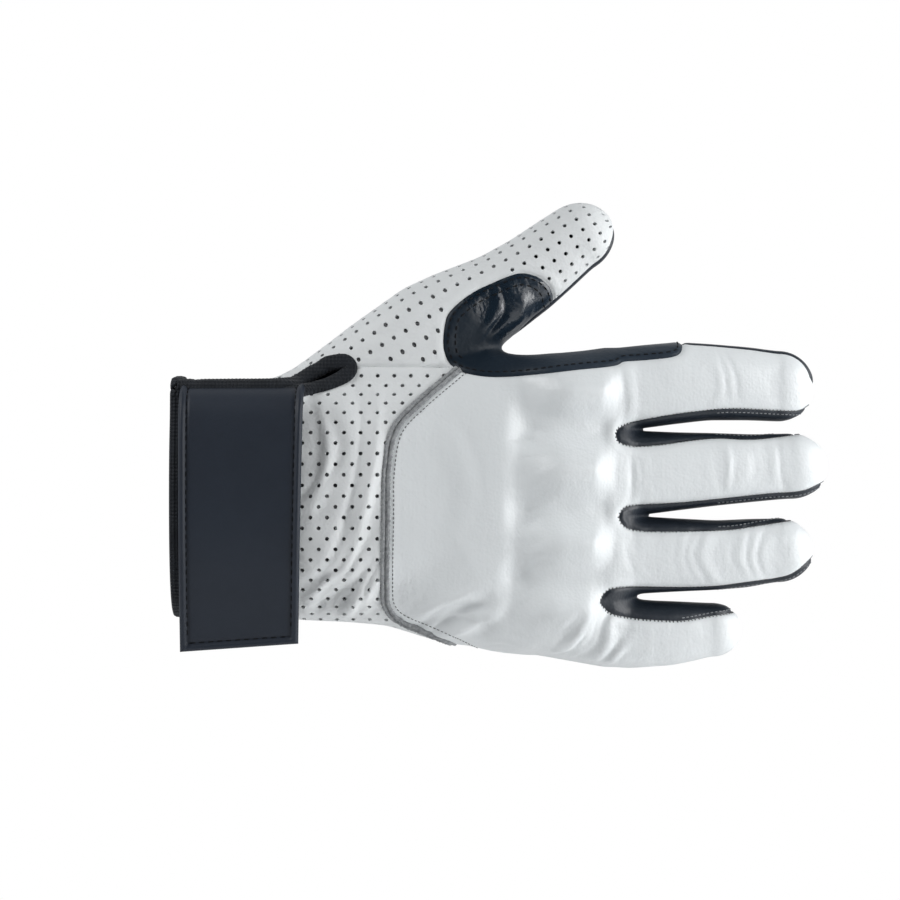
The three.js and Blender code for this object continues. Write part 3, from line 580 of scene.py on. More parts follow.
class Skin:
    """The points that all panels share, so that neighbours meet exactly along their seams."""

    def __init__(self, points):
        self.points = points
        self.is_cut = np.zeros(len(points), bool)
        self.is_seam = np.zeros(len(points), bool)

    def add(self, points):
        """Adds points and returns their numbers."""
        start = len(self.points)
        self.points = np.vstack([self.points, points])
        fresh = np.zeros(len(points), bool)
        self.is_cut = np.append(self.is_cut, fresh)
        self.is_seam = np.append(self.is_seam, fresh)
        return np.arange(start, start + len(points))

    def snap(self, used, value, field):
        """Moves free points that nearly lie on the line onto it."""
        near = used[(np.abs(value[used]) < SNAP) & ~self.is_cut[used]]
        if len(near) == 0:
            return
        points = self.points[near]
        slopes = tangent(slope(field, points), outward(points))
        size = np.sum(slopes**2, axis=1)
        steep = size > LEAST_SLOPE
        near, slopes, size = near[steep], slopes[steep], size[steep]
        self.points[near] -= (value[near] / size)[:, None] * slopes
        value[near] = 0

    def cut(self, triangles, field, is_seam=True):
        """Splits triangles along the zero line of a field. Returns those below zero and those above."""
        used = np.unique(triangles)
        value = np.zeros(len(self.points))
        value[used] = field(self.points[used])
        value[used[self.is_cut[used] & (np.abs(value[used]) < ON_CUT)]] = 0
        self.snap(used, value, field)
        signs = np.sign(value[triangles])
        low, high = signs.min(axis=1), signs.max(axis=1)
        is_mixed = (low < 0) & (high > 0)
        whole, whole_low, whole_high = triangles[~is_mixed], low[~is_mixed], high[~is_mixed]
        below, above = [whole[whole_low < 0]], [whole[whole_high > 0]]
        level = whole[(whole_low == 0) & (whole_high == 0)]
        if len(level):
            middle = field(self.points[level].mean(axis=1))
            below.append(level[middle < 0])
            above.append(level[middle >= 0])
        mixed, signs = triangles[is_mixed], signs[is_mixed]
        has_zero = (signs == 0).any(axis=1)
        odd_sign = np.where(has_zero, 0, -np.sign(signs.sum(axis=1)))
        odd = np.argmax(signs == odd_sign[:, None], axis=1)[:, None]
        mixed = mixed[np.arange(len(mixed))[:, None], (odd + np.arange(3)) % 3]
        touched, crossed = mixed[has_zero], mixed[~has_zero]
        pairs = np.vstack([touched[:, [1, 2]], crossed[:, [0, 1]], crossed[:, [0, 2]]])
        unique, index = np.unique(np.sort(pairs, axis=1), axis=0, return_inverse=True)
        if len(unique):
            a, b = unique.T
            share = (value[a] / (value[a] - value[b]))[:, None]
            fresh = self.add(mix(self.points[a], self.points[b], share))
            ends = [len(touched), len(touched) + len(crossed)]
            opposite, right, left = np.split(fresh[index.ravel()], ends)
            (t0, t1, t2), (c0, c1, c2) = touched.T, crossed.T
            halves = [((t0, t1, opposite), t1), ((t0, opposite, t2), t2), ((c0, right, left), c0),
                      ((right, c1, c2), c1), ((right, c2, left), c2)]
            for corners, side in halves:
                part = np.stack(corners, axis=1)
                below.append(part[value[side] < 0])
                above.append(part[value[side] > 0])
            self.is_cut[fresh] = True
            self.is_seam[fresh] |= is_seam
        on_line = used[value[used] == 0]
        self.is_cut[on_line] = True
        self.is_seam[on_line] |= is_seam
        return np.vstack(below), np.vstack(above)

    def refine(self, triangles, choose=None):
        """Splits edges in two, all or those that choose picks. Returns triangles and their old numbers."""
        pairs, index = np.unique(np.sort(edges_of(triangles), axis=1), axis=0, return_inverse=True)
        is_split = np.ones(len(pairs), bool) if choose is None else choose(pairs)
        split = pairs[is_split]
        fresh = np.full(len(pairs), -1)
        fresh[is_split] = self.add(self.points[split].mean(axis=1))
        self.is_seam[fresh[is_split]] = self.is_seam[split].all(axis=1)
        self.is_cut[fresh[is_split]] = self.is_cut[split].all(axis=1)
        middles = fresh[index.ravel()].reshape(3, -1).T
        has = middles >= 0
        count = has.sum(axis=1)
        turn = np.where(count == 2, np.argmin(has, axis=1) + 1, 0)
        turn = np.where(count == 1, np.argmax(has, axis=1), turn)
        order = (turn[:, None] + np.arange(3)) % 3
        rows = np.arange(len(triangles))[:, None]
        (a, b, c), (m, n, o) = triangles[rows, order].T, middles[rows, order].T
        patterns = {
            0: [(a, b, c)], 1: [(a, m, c), (m, b, c)], 2: [(m, b, n), (a, m, n), (a, n, c)],
            3: [(a, m, o), (b, n, m), (c, o, n), (m, n, o)],
        }
        parts, parents = [], []
        for number, pattern in patterns.items():
            chosen = np.flatnonzero(count == number)
            for corners in pattern:
                parts.append(np.stack(corners, axis=1)[chosen])
                parents.append(chosen)
        return np.vstack(parts), np.concatenate(parents)


# Regions of the surface, each below zero inside

# Seam between back and palm in Y: on the hand, the fingers and the thumb, and where one runs into the next
PALM_SEAM = 11
FINGER_SEAM, FINGER_SETTLES = 6.2, (154, 170)
INDEX_SEAM, INDEX_RISES, INDEX_TURNS = -4.5, (158, 178), (-4, 4)
THUMB_SEAM, THUMB_RISE, THUMB_TURNS = -4.4, 7.9, (-6, 6)
THUMB_BEGINS = (50, 62)
# Other seams: the saddle's end and its lean along the thumb, the slit, the thumb side of the cuff, the wrist
SADDLE_END, SADDLE_LEAN, LEAN_START = 125, 3, 56
SLIT_EDGE, SLIT_LAP, SLIT_SIDE, SLIT_TURN = 1, 0.4, 25, 57.5
THUMB_SEAM_Z = 44.3
WRIST_SEAM = 73
THUMB_EDGE = [(65, 52.8), (83, 38), (106, 37), (114.5, 46), (117, 54)]
# Room of each finger in Z, and of the thumb across its own axis
FINGER_ROOM = {"index": (23.3, 70), "middle": (-6.4, 23.3), "ring": (-34.2, -6.4), "little": (-90, -34.2)}
THUMB_CLEAR = -24

# Outlines, closed by corners that lie off the panel
PIPING_CURVE = curve(PIPING_LINE)
SLIT_OUTLINE = outline_field(SLIT)
SADDLE_OUTLINE = outline_field(np.vstack([curve(SADDLE), [(172, 60)]]))
BACK_OUTLINE = outline_field(np.vstack([
    PIPING_CURVE, [(104, -90), (300, -90), (300, 62), (176, 62), (128, 58), (108, 50)]]))
THUMB_PALM_OUTLINE = outline_field(np.vstack([curve(THUMB_EDGE), [(400, 54), (400, 400), (65, 400)]]))
GAP_OUTLINES = {}
for pair, (upper, lower) in GAPS.items():
    GAP_OUTLINES[pair] = outline_field(np.vstack([curve(upper), curve(lower)[::-1]]))


def hand_palm(points):
    """The seam between back and palm on the hand and the thumb."""
    along, _, across = in_thumb(points).T
    on_thumb = THUMB_DEPTH + along * math.sin(DROOP) + THUMB_SEAM
    on_thumb = on_thumb + THUMB_RISE * smoothstep(*THUMB_TURNS, across)
    return points[:, 1] - mix(PALM_SEAM, on_thumb, smoothstep(*THUMB_BEGINS, points[:, 2]))


def finger_palm(name):
    """The seam between back and palm on a finger. On the index finger it climbs to the back at one side."""
    tube = FINGER_TUBES[name]

    def field(points):
        x, y, z = points.T
        middle = tube.depth(x)
        level = mix(PALM_SEAM, middle + FINGER_SEAM, smoothstep(*FINGER_SETTLES, x))
        if name == "index":
            raised = smoothstep(*INDEX_RISES, x) * smoothstep(*INDEX_TURNS, z - tube.across(x))
            level = mix(level, middle + INDEX_SEAM, raised)
        return y - level
    return field


def saddle_front(points):
    """Below zero on the saddle and the index side panel."""
    return np.maximum(SADDLE_OUTLINE(points), hand_palm(points))


def before_side_panel(points):
    """Below zero on the saddle, which reaches on along the thumb."""
    return points[:, 0] - SADDLE_END - SADDLE_LEAN * np.maximum(points[:, 2] - LEAN_START, 0)


def slit_field(points):
    """Below zero in the slit at the thumb side of the cuff."""
    return np.maximum(SLIT_OUTLINE(points), points[:, 1] - SLIT_EDGE)


def thumb_side(points):
    """Below zero on the cuff, above zero on the thumb panel."""
    x, y, z = points.T
    beside_slit = np.maximum(y - SLIT_EDGE + SLIT_LAP, z - THUMB_SEAM_Z)
    beside_slit = np.where(z > SLIT_SIDE, beside_slit, -1)
    return np.where(x < SLIT_TURN, beside_slit, z - THUMB_SEAM_Z)


def finger_region(name, start, along):
    """Below zero on a finger past its start."""
    low, high = FINGER_ROOM[name]

    def field(points):
        return np.max([(start - points) @ along, points[:, 2] - high, low - points[:, 2]], axis=0)
    return field


def thumb_region(points):
    """Below zero on the thumb past its bend."""
    along, _, across = in_thumb(points).T
    return np.maximum(-THUMB_ZONE - along, THUMB_CLEAR - across)


# Cutting the surface into panels

PANELS = {}
BENDS = {}


def bend(first, second, joint, along, reach):
    """Two bodies that leather bends between, and the places where the bend starts and ends."""
    return first, second, joint - along * reach, joint + along * reach


body_points, body_triangles = mesh_body()
skin = Skin(body_points)
_, rest = skin.cut(body_triangles, lambda points: points[:, 0] - HEM, is_seam=False)
_, rest = skin.cut(rest, slit_field, is_seam=False)
EDGE_TRIANGLES = rest
black, rest = skin.cut(rest, saddle_front)
PANELS["thumb_saddle"], PANELS["index_side_panel"] = skin.cut(black, before_side_panel, is_seam=False)

for name, (root_zone, middle_zone) in ZONES.items():
    root, middle = JOINTS[f"{name}_root_bend"], JOINTS[f"{name}_middle_bend"]
    along = unit(middle - root)
    split = root + along * (root_zone + np.linalg.norm(middle - root) - middle_zone) / 2
    BENDS[f"{name}_proximal"] = bend("hand", f"{name}_proximal", root, along, root_zone)
    BENDS[f"{name}_distal"] = bend(f"{name}_proximal", f"{name}_distal", middle, along, middle_zone)
    finger, rest = skin.cut(rest, finger_region(name, root - along * root_zone, along), is_seam=False)
    parts = skin.cut(finger, lambda points: (points - split) @ along, is_seam=False)
    for part_name, part in zip(("proximal", "distal"), parts):
        label = f"{name}_{part_name}"
        front, PANELS[f"{label}_palm"] = skin.cut(part, finger_palm(name))
        for (above, below), outline in GAP_OUTLINES.items():
            if name in (above, below):
                side = "lower" if name == above else "upper"
                PANELS[f"{label}_fourchette_{side}"], front = skin.cut(front, outline)
        PANELS[f"{label}_back"] = front
BENDS["index_side_panel"] = BENDS["index_proximal"]

thumb_tip, rest = skin.cut(rest, thumb_region, is_seam=False)
PANELS["thumb_tip_back"], PANELS["thumb_tip_palm"] = skin.cut(thumb_tip, hand_palm)
BENDS["thumb_tip"] = bend("hand", "thumb_tip", JOINTS["thumb_bend"], THUMB_ALONG, THUMB_ZONE)

front, palm = skin.cut(rest, hand_palm)
for (above, below), outline in GAP_OUTLINES.items():
    PANELS[f"fourchette_{above}_{below}"], front = skin.cut(front, outline)
PANELS["back_panel"], front = skin.cut(front, BACK_OUTLINE)
PANELS["cuff_back_panel"], PANELS["thumb_panel"] = skin.cut(front, thumb_side)
PANELS["thumb_palm"], palm = skin.cut(palm, THUMB_PALM_OUTLINE)
PANELS["cuff_palm_panel"], PANELS["palm_panel"] = skin.cut(palm, lambda points: points[:, 0] - WRIST_SEAM)
PLAIN = dict(PANELS)


# Punched holes: staggered rows round the cuff, and straight rows along the thumb

# The cuff is rolled out along its section at one X, over a range of Z, and deeper than its side along Y. The
# thumb is rolled out round a section of its own.
CUFF_STATION = 64
CUFF_LINE = np.linspace(-41.5, 41, 160)
CUFF_SIDE = -4
STAGGERED, STRAIGHT = (0, 0.5), (0,)
THUMB_HALF_WIDTH, THUMB_HALF_DEPTH, THUMB_MIDDLE = 15, 12.5, 1.5


def onto_back(flat, start=-40, rounds=80, limits=(-1, 3), share=0.8, near=0.05):
    """Points of the back under a line in X and Z, where the line lies over it."""
    points = np.stack([flat[:, 0], np.full(len(flat), start), flat[:, 1]], axis=1)
    for _ in range(rounds):
        gap = glove_distance(points)
        points[:, 1] += np.clip(gap, *limits) * share
    return points[(np.abs(gap) < near) & (points[:, 1] < PALM_SEAM)]


def around(half_width, half_depth, steps=721):
    """Distance round a section from the middle of the back, by the angle round it."""
    turn = np.linspace(-np.pi, np.pi, steps)
    circle = np.stack([-np.cos(turn), np.sin(turn)], axis=1)
    flat = np.sign(circle) * np.abs(circle) ** (2 / SQUARENESS)
    run = run_along(flat * (half_depth, half_width))
    angle = np.arctan2(flat[:, 1], -flat[:, 0])
    angle[0], angle[-1] = -np.pi, np.pi
    return lambda a: np.interp(a, angle, run - run[-1] / 2)


THUMB_AROUND = around(THUMB_HALF_WIDTH, THUMB_HALF_DEPTH)
CUFF_SECTION = onto_back(np.stack([np.full(len(CUFF_LINE), CUFF_STATION), CUFF_LINE], axis=1))
CUFF_RUN = run_along(CUFF_SECTION[:, 1:])


def cuff_lattice(points):
    """Places in pitches of the cuff's rows, how the rows are shifted, and the pitch."""
    x, y, z = points.T
    beyond = z - np.clip(z, CUFF_SECTION[0, 2], CUFF_SECTION[-1, 2])
    run = np.interp(z, CUFF_SECTION[:, 2], CUFF_RUN) + beyond + np.sign(z) * np.maximum(y - CUFF_SIDE, 0)
    return np.stack([x, run], axis=1) / CUFF_PITCH, STAGGERED, CUFF_PITCH


def thumb_lattice(points):
    """The same for the thumb."""
    along, depth, across = in_thumb(points).T
    run = THUMB_AROUND(np.arctan2(across / THUMB_HALF_WIDTH, (THUMB_MIDDLE - depth) / THUMB_HALF_DEPTH))
    return np.stack([along, run], axis=1) / THUMB_PITCH, STRAIGHT, THUMB_PITCH


def nearest_hole(flat, shifts, pitch):
    """The hole that each point is nearest to, as twice its row and column, and the distance to it."""
    best, gap = None, None
    for shift in shifts:
        cell = np.round(flat - shift) + shift
        distance = np.linalg.norm((flat - cell) * pitch, axis=1)
        if best is None:
            best, gap = cell, distance
        else:
            closer = distance < gap
            best[closer], gap[closer] = cell[closer], distance[closer]
    return np.round(2 * best).astype(int), gap


def punch(name, lattice):
    """Cuts the holes of a panel, apart from those close to its edges."""
    triangles, _ = skin.refine(PANELS[name])
    used = np.unique(triangles)
    edges = used[skin.is_seam[used]]
    cells, gap = nearest_hole(*lattice(skin.points[edges]))
    dropped = {tuple(cell) for cell in cells[gap < HOLE_RADIUS + HOLE_MARGIN]}

    def field(points):
        cells, gap = nearest_hole(*lattice(points))
        is_dropped = np.array([tuple(cell) in dropped for cell in cells])
        return np.where(is_dropped, 1.0, gap - HOLE_RADIUS)
    _, PANELS[name] = skin.cut(triangles, field, is_seam=False)


LATTICES = {"cuff_back_panel": cuff_lattice, "thumb_panel": thumb_lattice, "thumb_tip_back": thumb_lattice}
for name, lattice in LATTICES.items():
    punch(name, lattice)


# Seams drawn in, and normals of the finished surface

def seam_tree():
    """A search tree of points along all seams."""
    samples = []
    for triangles in PANELS.values():
        edges = boundary_edges(triangles)
        edges = edges[skin.is_seam[edges].all(axis=1)]
        a, b = skin.points[edges[:, 0]], skin.points[edges[:, 1]]
        samples += [a, (a + b) / 2]
    samples = np.unique(np.round(np.vstack(samples), 3), axis=0)
    tree = kdtree.KDTree(len(samples))
    for i, sample in enumerate(samples):
        tree.insert(sample, i)
    tree.balance()
    return tree


SEAMS = seam_tree()


def seam_gaps():
    """Distance from each point to the nearest seam."""
    return np.array([SEAMS.find(point)[2] for point in skin.points])


gaps = seam_gaps()


def is_coarse(pairs):
    """Long edges close to a seam."""
    length = np.linalg.norm(skin.points[pairs[:, 0]] - skin.points[pairs[:, 1]], axis=1)
    return (gaps[pairs].max(axis=1) < SEAM_ZONE) & (length > FINE)


names = list(PANELS)
labels = np.repeat(np.arange(len(names)), [len(PANELS[name]) for name in names])
ALL_TRIANGLES, parents = skin.refine(np.vstack([PANELS[name] for name in names]), is_coarse)
for number, name in enumerate(names):
    PANELS[name] = ALL_TRIANGLES[labels[parents] == number]


def settled_normals(points, agreement=0.5):
    """Normals of the finished surface. At folded slivers along the cuts they are the body's own."""
    normals = point_normals(points, ALL_TRIANGLES)
    cut = np.flatnonzero(skin.is_cut)
    body = outward(points[cut])
    is_astray = np.sum(normals[cut] * body, axis=1) < agreement
    normals[cut[is_astray]] = body[is_astray]
    return normals


BASE_NORMALS = settled_normals(skin.points)
gaps = seam_gaps()
SINK = PUFF * bell(gaps, PUFF_PLACE, PUFF_WIDTH) - GROOVE * bell(gaps, 0, GROOVE_WIDTH)
POINTS = skin.points + SINK[:, None] * BASE_NORMALS
NORMALS = settled_normals(POINTS)


# Objects

def add_object(name, data):
    """A new object in the scene."""
    piece = bpy.data.objects.new(name, data)
    bpy.context.scene.collection.objects.link(piece)
    return piece


def make_mesh(name, points, faces, normals=None):
    """A mesh of triangles or quads. Normals are for each corner, where given."""
    faces = np.asarray(faces)
    mesh = bpy.data.meshes.new(name)
    count, sides = faces.shape
    mesh.vertices.add(len(points))
    mesh.vertices.foreach_set("co", (np.asarray(points) * MM).astype(np.float32).ravel())
    mesh.loops.add(count * sides)
    mesh.loops.foreach_set("vertex_index", faces.astype(np.int32).ravel())
    mesh.polygons.add(count)
    mesh.polygons.foreach_set("loop_start", np.arange(0, count * sides, sides, dtype=np.int32))
    mesh.update(calc_edges=True)
    mesh.shade_smooth()
    if normals is not None:
        mesh.normals_split_custom_set(normals.astype(np.float32))
    return add_object(name, mesh)


def shell(name, triangles, top=0.0, thickness=LEATHER):
    """A closed piece of sheet over part of the surface: its top, its underside and its cut edges."""
    used, index = np.unique(triangles, return_inverse=True)
    faces = index.reshape(-1, 3)
    normals = NORMALS[used]
    lift, depth = (np.broadcast_to(size, len(POINTS))[used][:, None] for size in (top, thickness))
    upper = POINTS[used] + lift * normals
    points = np.vstack([upper, upper - depth * normals])
    count = len(used)
    a, b = boundary_edges(faces).T
    walls = np.vstack([np.stack([b, a, a + count], 1), np.stack([b, a + count, b + count], 1)])
    wall_normals = np.repeat(unit(face_normals(points, walls))[:, None], 3, axis=1)
    corners = np.vstack([normals[faces], -normals[faces[:, ::-1]], wall_normals])
    every = np.vstack([faces, faces[:, ::-1] + count, walls])
    return make_mesh(name, points, every, corners.reshape(-1, 3))


def tube_faces(rows, sides):
    """Triangles of a closed tube made of rings of points."""
    ring, side = np.meshgrid(np.arange(rows - 1), np.arange(sides), indexing="ij")
    near, far, turned = ring * sides, (ring + 1) * sides, (side + 1) % sides
    quads = np.stack([near + side, near + turned, far + turned, far + side], axis=-1).reshape(-1, 4)
    fan = np.arange(1, sides - 1)
    cap = np.stack([0 * fan, fan + 1, fan], axis=1)
    return np.vstack([split_quads(quads), cap, (rows - 1) * sides + cap[:, ::-1]])


def sweep(name, path, out, section, wobble=0.0, fuzz=0.0, seed=5):
    """A section swept along a path. Its first coordinate runs across the path and its second outward."""
    ahead = np.roll(path, -1, axis=0) - np.roll(path, 1, axis=0)
    ahead[0], ahead[-1] = path[1] - path[0], path[-1] - path[-2]
    ahead = unit(ahead)
    across = unit(np.cross(ahead, unit(out)))
    out = np.cross(across, ahead)
    section = np.asarray(section, float)
    rise = np.broadcast_to(1 + wobble, len(path))[:, None, None]
    rings = path[:, None] + section[:, :1] * across[:, None] + section[:, 1:] * rise * out[:, None]
    points = rings.reshape(-1, 3)
    points = points + fuzz * np.random.default_rng(seed).uniform(-1, 1, points.shape)
    return make_mesh(name, points, tube_faces(len(path), len(section)))


def chain(edges):
    """Edges joined into lines of point numbers, the longest first."""
    after = {}
    for a, b in edges:
        after.setdefault(a, []).append(b)
    lines = []
    starts = set(after) - {b for _, b in edges}
    while after:
        start = starts.pop() if starts else next(iter(after))
        if start not in after:
            continue
        line = [start]
        while line[-1] in after:
            ahead = after[line[-1]]
            step = ahead.pop()
            if not ahead:
                del after[line[-1]]
            line.append(step)
        lines.append(line)
    return sorted(lines, key=len, reverse=True)


def resample(line, step, smoothing=0):
    """Points at an even spacing along a line."""
    line = np.asarray(line, float)
    for _ in range(smoothing):
        line[1:-1] = 0.25 * line[:-2] + 0.5 * line[1:-1] + 0.25 * line[2:]
    run = run_along(line)
    count = max(int(run[-1] / step), 2)
    at = np.linspace(0, run[-1], count)
    return np.stack([np.interp(at, run, line[:, i]) for i in range(line.shape[1])], axis=1)


def contours(triangles, values, level, nudge=1e-6, shortest=5):
    """Lines on the surface where a value, given for each point, has one level."""
    v = values - level
    v = np.where(np.abs(v) < nudge, nudge, v)
    signs = v[triangles] > 0
    ends = {}
    links = []
    for tri in triangles[signs.any(axis=1) & ~signs.all(axis=1)]:
        hit = []
        for a, b in zip(tri, np.roll(tri, -1)):
            if (v[a] > 0) != (v[b] > 0):
                low, high = min(a, b), max(a, b)
                if (low, high) not in ends:
                    share = v[low] / (v[low] - v[high])
                    place = mix(POINTS[low], POINTS[high], share)
                    ends[low, high] = (len(ends), place, mix(NORMALS[low], NORMALS[high], share))
                hit.append((ends[low, high][0], v[a] > 0))
        (first, from_high), (second, _) = hit
        links.append((first, second) if from_high else (second, first))
    _, places, normals = zip(*ends.values())
    places, normals = np.array(places), unit(normals)
    return [(places[line], normals[line]) for line in chain(links) if len(line) >= shortest]


# A stitch: places along it, with the girth and the rise of the thread there, in its own length and radius
STITCH = [(-0.5, 0.45, -0.55), (-0.36, 0.95, -0.1), (0, 1, 0.15), (0.36, 0.95, -0.1), (0.5, 0.45, -0.55)]
STITCH_SIDES = 6
STITCH_PACE = 0.3
THREAD = 0.26


def stitches(name, lines, length=1.7, gap=0.9, radius=THREAD, lift=0.05, is_across=False):
    """Rows of stitches along lines on the surface, each a short length of thread that dips at its ends."""
    starts, aheads, outs = [], [], []
    for line, normals in lines:
        both = resample(np.hstack([line, normals]), STITCH_PACE, smoothing=3)
        run = len(both) * STITCH_PACE
        for at in np.arange(gap, run - length, length + gap):
            i = min(int((at + length / 2) / STITCH_PACE), len(both) - 2)
            starts.append(both[i, :3])
            outs.append(both[i, 3:])
            aheads.append(both[i + 1, :3] - both[i - 1, :3])
    if not starts:
        return None
    starts, outs, aheads = np.array(starts), unit(outs), unit(aheads)
    sides = unit(np.cross(outs, aheads))
    if is_across:
        aheads, sides = sides, aheads
    turn = np.linspace(0, 2 * np.pi, STITCH_SIDES, endpoint=False)
    ring = np.stack([np.cos(turn), np.sin(turn)], axis=1)
    rows = []
    for place, girth, rise in STITCH:
        middle = starts + aheads * place * length + outs * (lift + rise * radius)
        rows += [middle + sides * u + outs * w for u, w in ring * radius * girth]
    points = np.stack(rows, axis=1)
    one = tube_faces(len(STITCH), STITCH_SIDES)
    if not is_across:
        one = one[:, ::-1]
    faces = one + np.arange(len(starts))[:, None, None] * len(rows)
    return make_mesh(name, points.reshape(-1, 3), faces.reshape(-1, 3))


# Materials, kept under their names. Heights of bumps are in metres, and scales are counted in a metre.

FINISHES = {}


def fill(node, inputs):
    """Puts values or links at a node's inputs."""
    for socket, value in inputs.items():
        if isinstance(value, bpy.types.NodeSocket):
            node.id_data.links.new(value, node.inputs[socket])
        else:
            node.inputs[socket].default_value = value


def add_node(tree, kind, inputs=None, **settings):
    """A node with its settings, and with values or links at its inputs."""
    node = tree.nodes.new(kind)
    for key, value in settings.items():
        setattr(node, key, value)
    fill(node, inputs or {})
    return node


def spread(tree, value, start, end):
    """A value moved from one range to another, and kept in it."""
    ranges = {"From Min": start[0], "From Max": start[1], "To Min": end[0], "To Max": end[1]}
    return add_node(tree, "ShaderNodeMapRange", {"Value": value, **ranges}).outputs[0]


class Finish:
    """A material under construction: its shader, and short ways to add nodes to it."""

    def __init__(self, name, colour, roughness, specular=0.5, sheen=0.0):
        self.material = bpy.data.materials.new(name)
        self.material.use_nodes = True
        self.tree = self.material.node_tree
        self.shader = self.tree.nodes["Principled BSDF"]
        self.place = self.add("ShaderNodeTexCoord").outputs["Object"]
        self.colour = (*colour, 1)
        fill(self.shader, {"Base Color": self.colour, "Roughness": roughness})
        fill(self.shader, {"Specular IOR Level": specular, "Sheen Weight": sheen})
        FINISHES[name] = self.material

    def add(self, kind, inputs=None, **settings):
        return add_node(self.tree, kind, inputs, **settings)

    def noise(self, scale, detail=3, distortion=0.0, place=None):
        return self.add("ShaderNodeTexNoise", {
            "Vector": place or self.place, "Scale": scale, "Detail": detail, "Distortion": distortion,
        }).outputs[0]

    def cells(self, scale):
        return self.add("ShaderNodeTexVoronoi", {"Vector": self.place, "Scale": scale}).outputs["Distance"]

    def spread(self, value, start, end):
        return spread(self.tree, value, start, end)

    def ramp(self, direction, low, high):
        """Rises from 0 to 1 along a direction, between two distances in millimetres."""
        far = self.add("ShaderNodeVectorMath", {0: self.place, 1: direction}, operation="DOT_PRODUCT")
        return self.spread(far.outputs["Value"], (low * MM, high * MM), (0, 1))

    def drive(self, socket, value):
        """Links a value to one of the shader's sockets."""
        fill(self.shader, {socket: value})

    def tint(self, factor, other):
        """The base colour runs towards another one by a factor."""
        socket = self.shader.inputs["Base Color"]
        before = socket.links[0].from_socket if socket.is_linked else self.colour
        node = self.add("ShaderNodeMix", {0: factor, 6: before, 7: (*other, 1)}, data_type="RGBA")
        self.drive("Base Color", node.outputs[2])

    def mottle(self, pattern, start, share, other):
        """Tints the base colour by up to a share, as a pattern rises through a range."""
        self.tint(self.spread(pattern, start, (0, share)), other)

    def bump(self, height, distance, strength):
        """Raises the surface by a height, on top of what was raised before."""
        socket = self.shader.inputs["Normal"]
        inputs = {"Height": height, "Distance": distance, "Strength": strength}
        if socket.is_linked:
            inputs["Normal"] = socket.links[0].from_socket
        self.drive("Normal", self.add("ShaderNodeBump", inputs).outputs["Normal"])


def leather(name, colour, dark, roughness, grain=1.0, crease=1.0, lines=0.0):
    """Grained leather: fine pores, soft creases, fine lines across and a slightly uneven finish."""
    finish = Finish(name, colour, roughness)
    if lines:
        drawn = finish.add("ShaderNodeMapping", {"Vector": finish.place, "Scale": (1, 0.5, 0.16)}).outputs[0]
        finish.bump(finish.noise(420, distortion=0.6, place=drawn), distance=0.00022 * lines, strength=0.6)
    finish.mottle(finish.noise(28, detail=4), (0.42, 0.75), 0.5, dark)
    uneven = (roughness - 0.05, roughness + 0.08)
    finish.drive("Roughness", finish.spread(finish.noise(60), (0.3, 0.7), uneven))
    finish.bump(finish.noise(75, distortion=0.8), distance=0.0007 * crease, strength=0.5)
    finish.bump(finish.cells(900), distance=0.00009 * grain, strength=0.6)
    finish.bump(finish.noise(1600, detail=2), distance=0.00006 * grain, strength=0.5)


# Where the saddle's leather changes, in millimetres: towards the index side, past its rim, up on the thumb
SIDE_FADE = (104, 140)
RIM_DIRECTION, RIM_FADE = (0.735, 0, 0.68), (115.5, 119.5)
INNER_FADE = (51, 54)


def glossy_leather(name, colour, side, roughness, shine, specular=0.25, gloss=0.7):
    """Smooth leather, dull on the saddle's rim and the index side, glossy on the thumb's inner side."""
    finish = Finish(name, colour, roughness, specular)
    finish.tint(finish.ramp((1, 0, 0), *SIDE_FADE), side)
    past_rim, above = finish.ramp(RIM_DIRECTION, *RIM_FADE), finish.ramp((0, 0, 1), *INNER_FADE)
    inner = finish.add("ShaderNodeMath", {0: past_rim, 1: above}, operation="MULTIPLY").outputs[0]
    finish.drive("Roughness", finish.spread(inner, (0, 1), (roughness, shine)))
    finish.drive("Specular IOR Level", finish.spread(inner, (0, 1), (specular, gloss)))
    finish.mottle(finish.noise(60), (0.4, 0.7), 0.4, colour)
    finish.bump(finish.noise(260, detail=4, distortion=0.8), distance=0.0005, strength=0.5)
    finish.bump(finish.cells(900), distance=0.00008, strength=0.5)


def fabric(name, colour, dark, roughness, scale, distance=0.0002, sheen=0.25):
    """A fine knit: loops in two directions, with a soft fuzz."""
    finish = Finish(name, colour, roughness, specular=0.2, sheen=sheen)
    finish.mottle(finish.noise(300, detail=2), (0.35, 0.7), 0.7, dark)
    loops = {"Vector": finish.place, "Scale": scale, "Distortion": 1}
    for direction in ("X", "Z"):
        waves = finish.add("ShaderNodeTexWave", loops, bands_direction=direction)
        finish.bump(waves.outputs["Fac"], distance, strength=0.7)


def raw_edge(name, colour, dark):
    """Leather split at its edge: rough and mottled."""
    finish = Finish(name, colour, 0.9, specular=0.2, sheen=0.3)
    finish.mottle(finish.noise(700, detail=4), (0.35, 0.65), 1, dark)
    finish.bump(finish.noise(1500, detail=4), distance=0.0003, strength=0.8)


def rubber(name, colour, dark, roughness):
    """Rubber or plastic: a fine texture over slight unevenness."""
    finish = Finish(name, colour, roughness, specular=0.4)
    finish.mottle(finish.noise(45, detail=4), (0.4, 0.7), 0.6, dark)
    finish.bump(finish.noise(2200, detail=2), distance=0.00012, strength=0.6)
    finish.bump(finish.noise(90), distance=0.0005, strength=0.3)


def hooks(name, colour, dark, scale):
    """Small bumps close together, as on a touch fastener or on foam."""
    finish = Finish(name, colour, 0.85, specular=0.3)
    finish.mottle(finish.cells(scale), (0.1, 0.5), 1, dark)
    finish.bump(finish.cells(scale), distance=0.0006, strength=1)


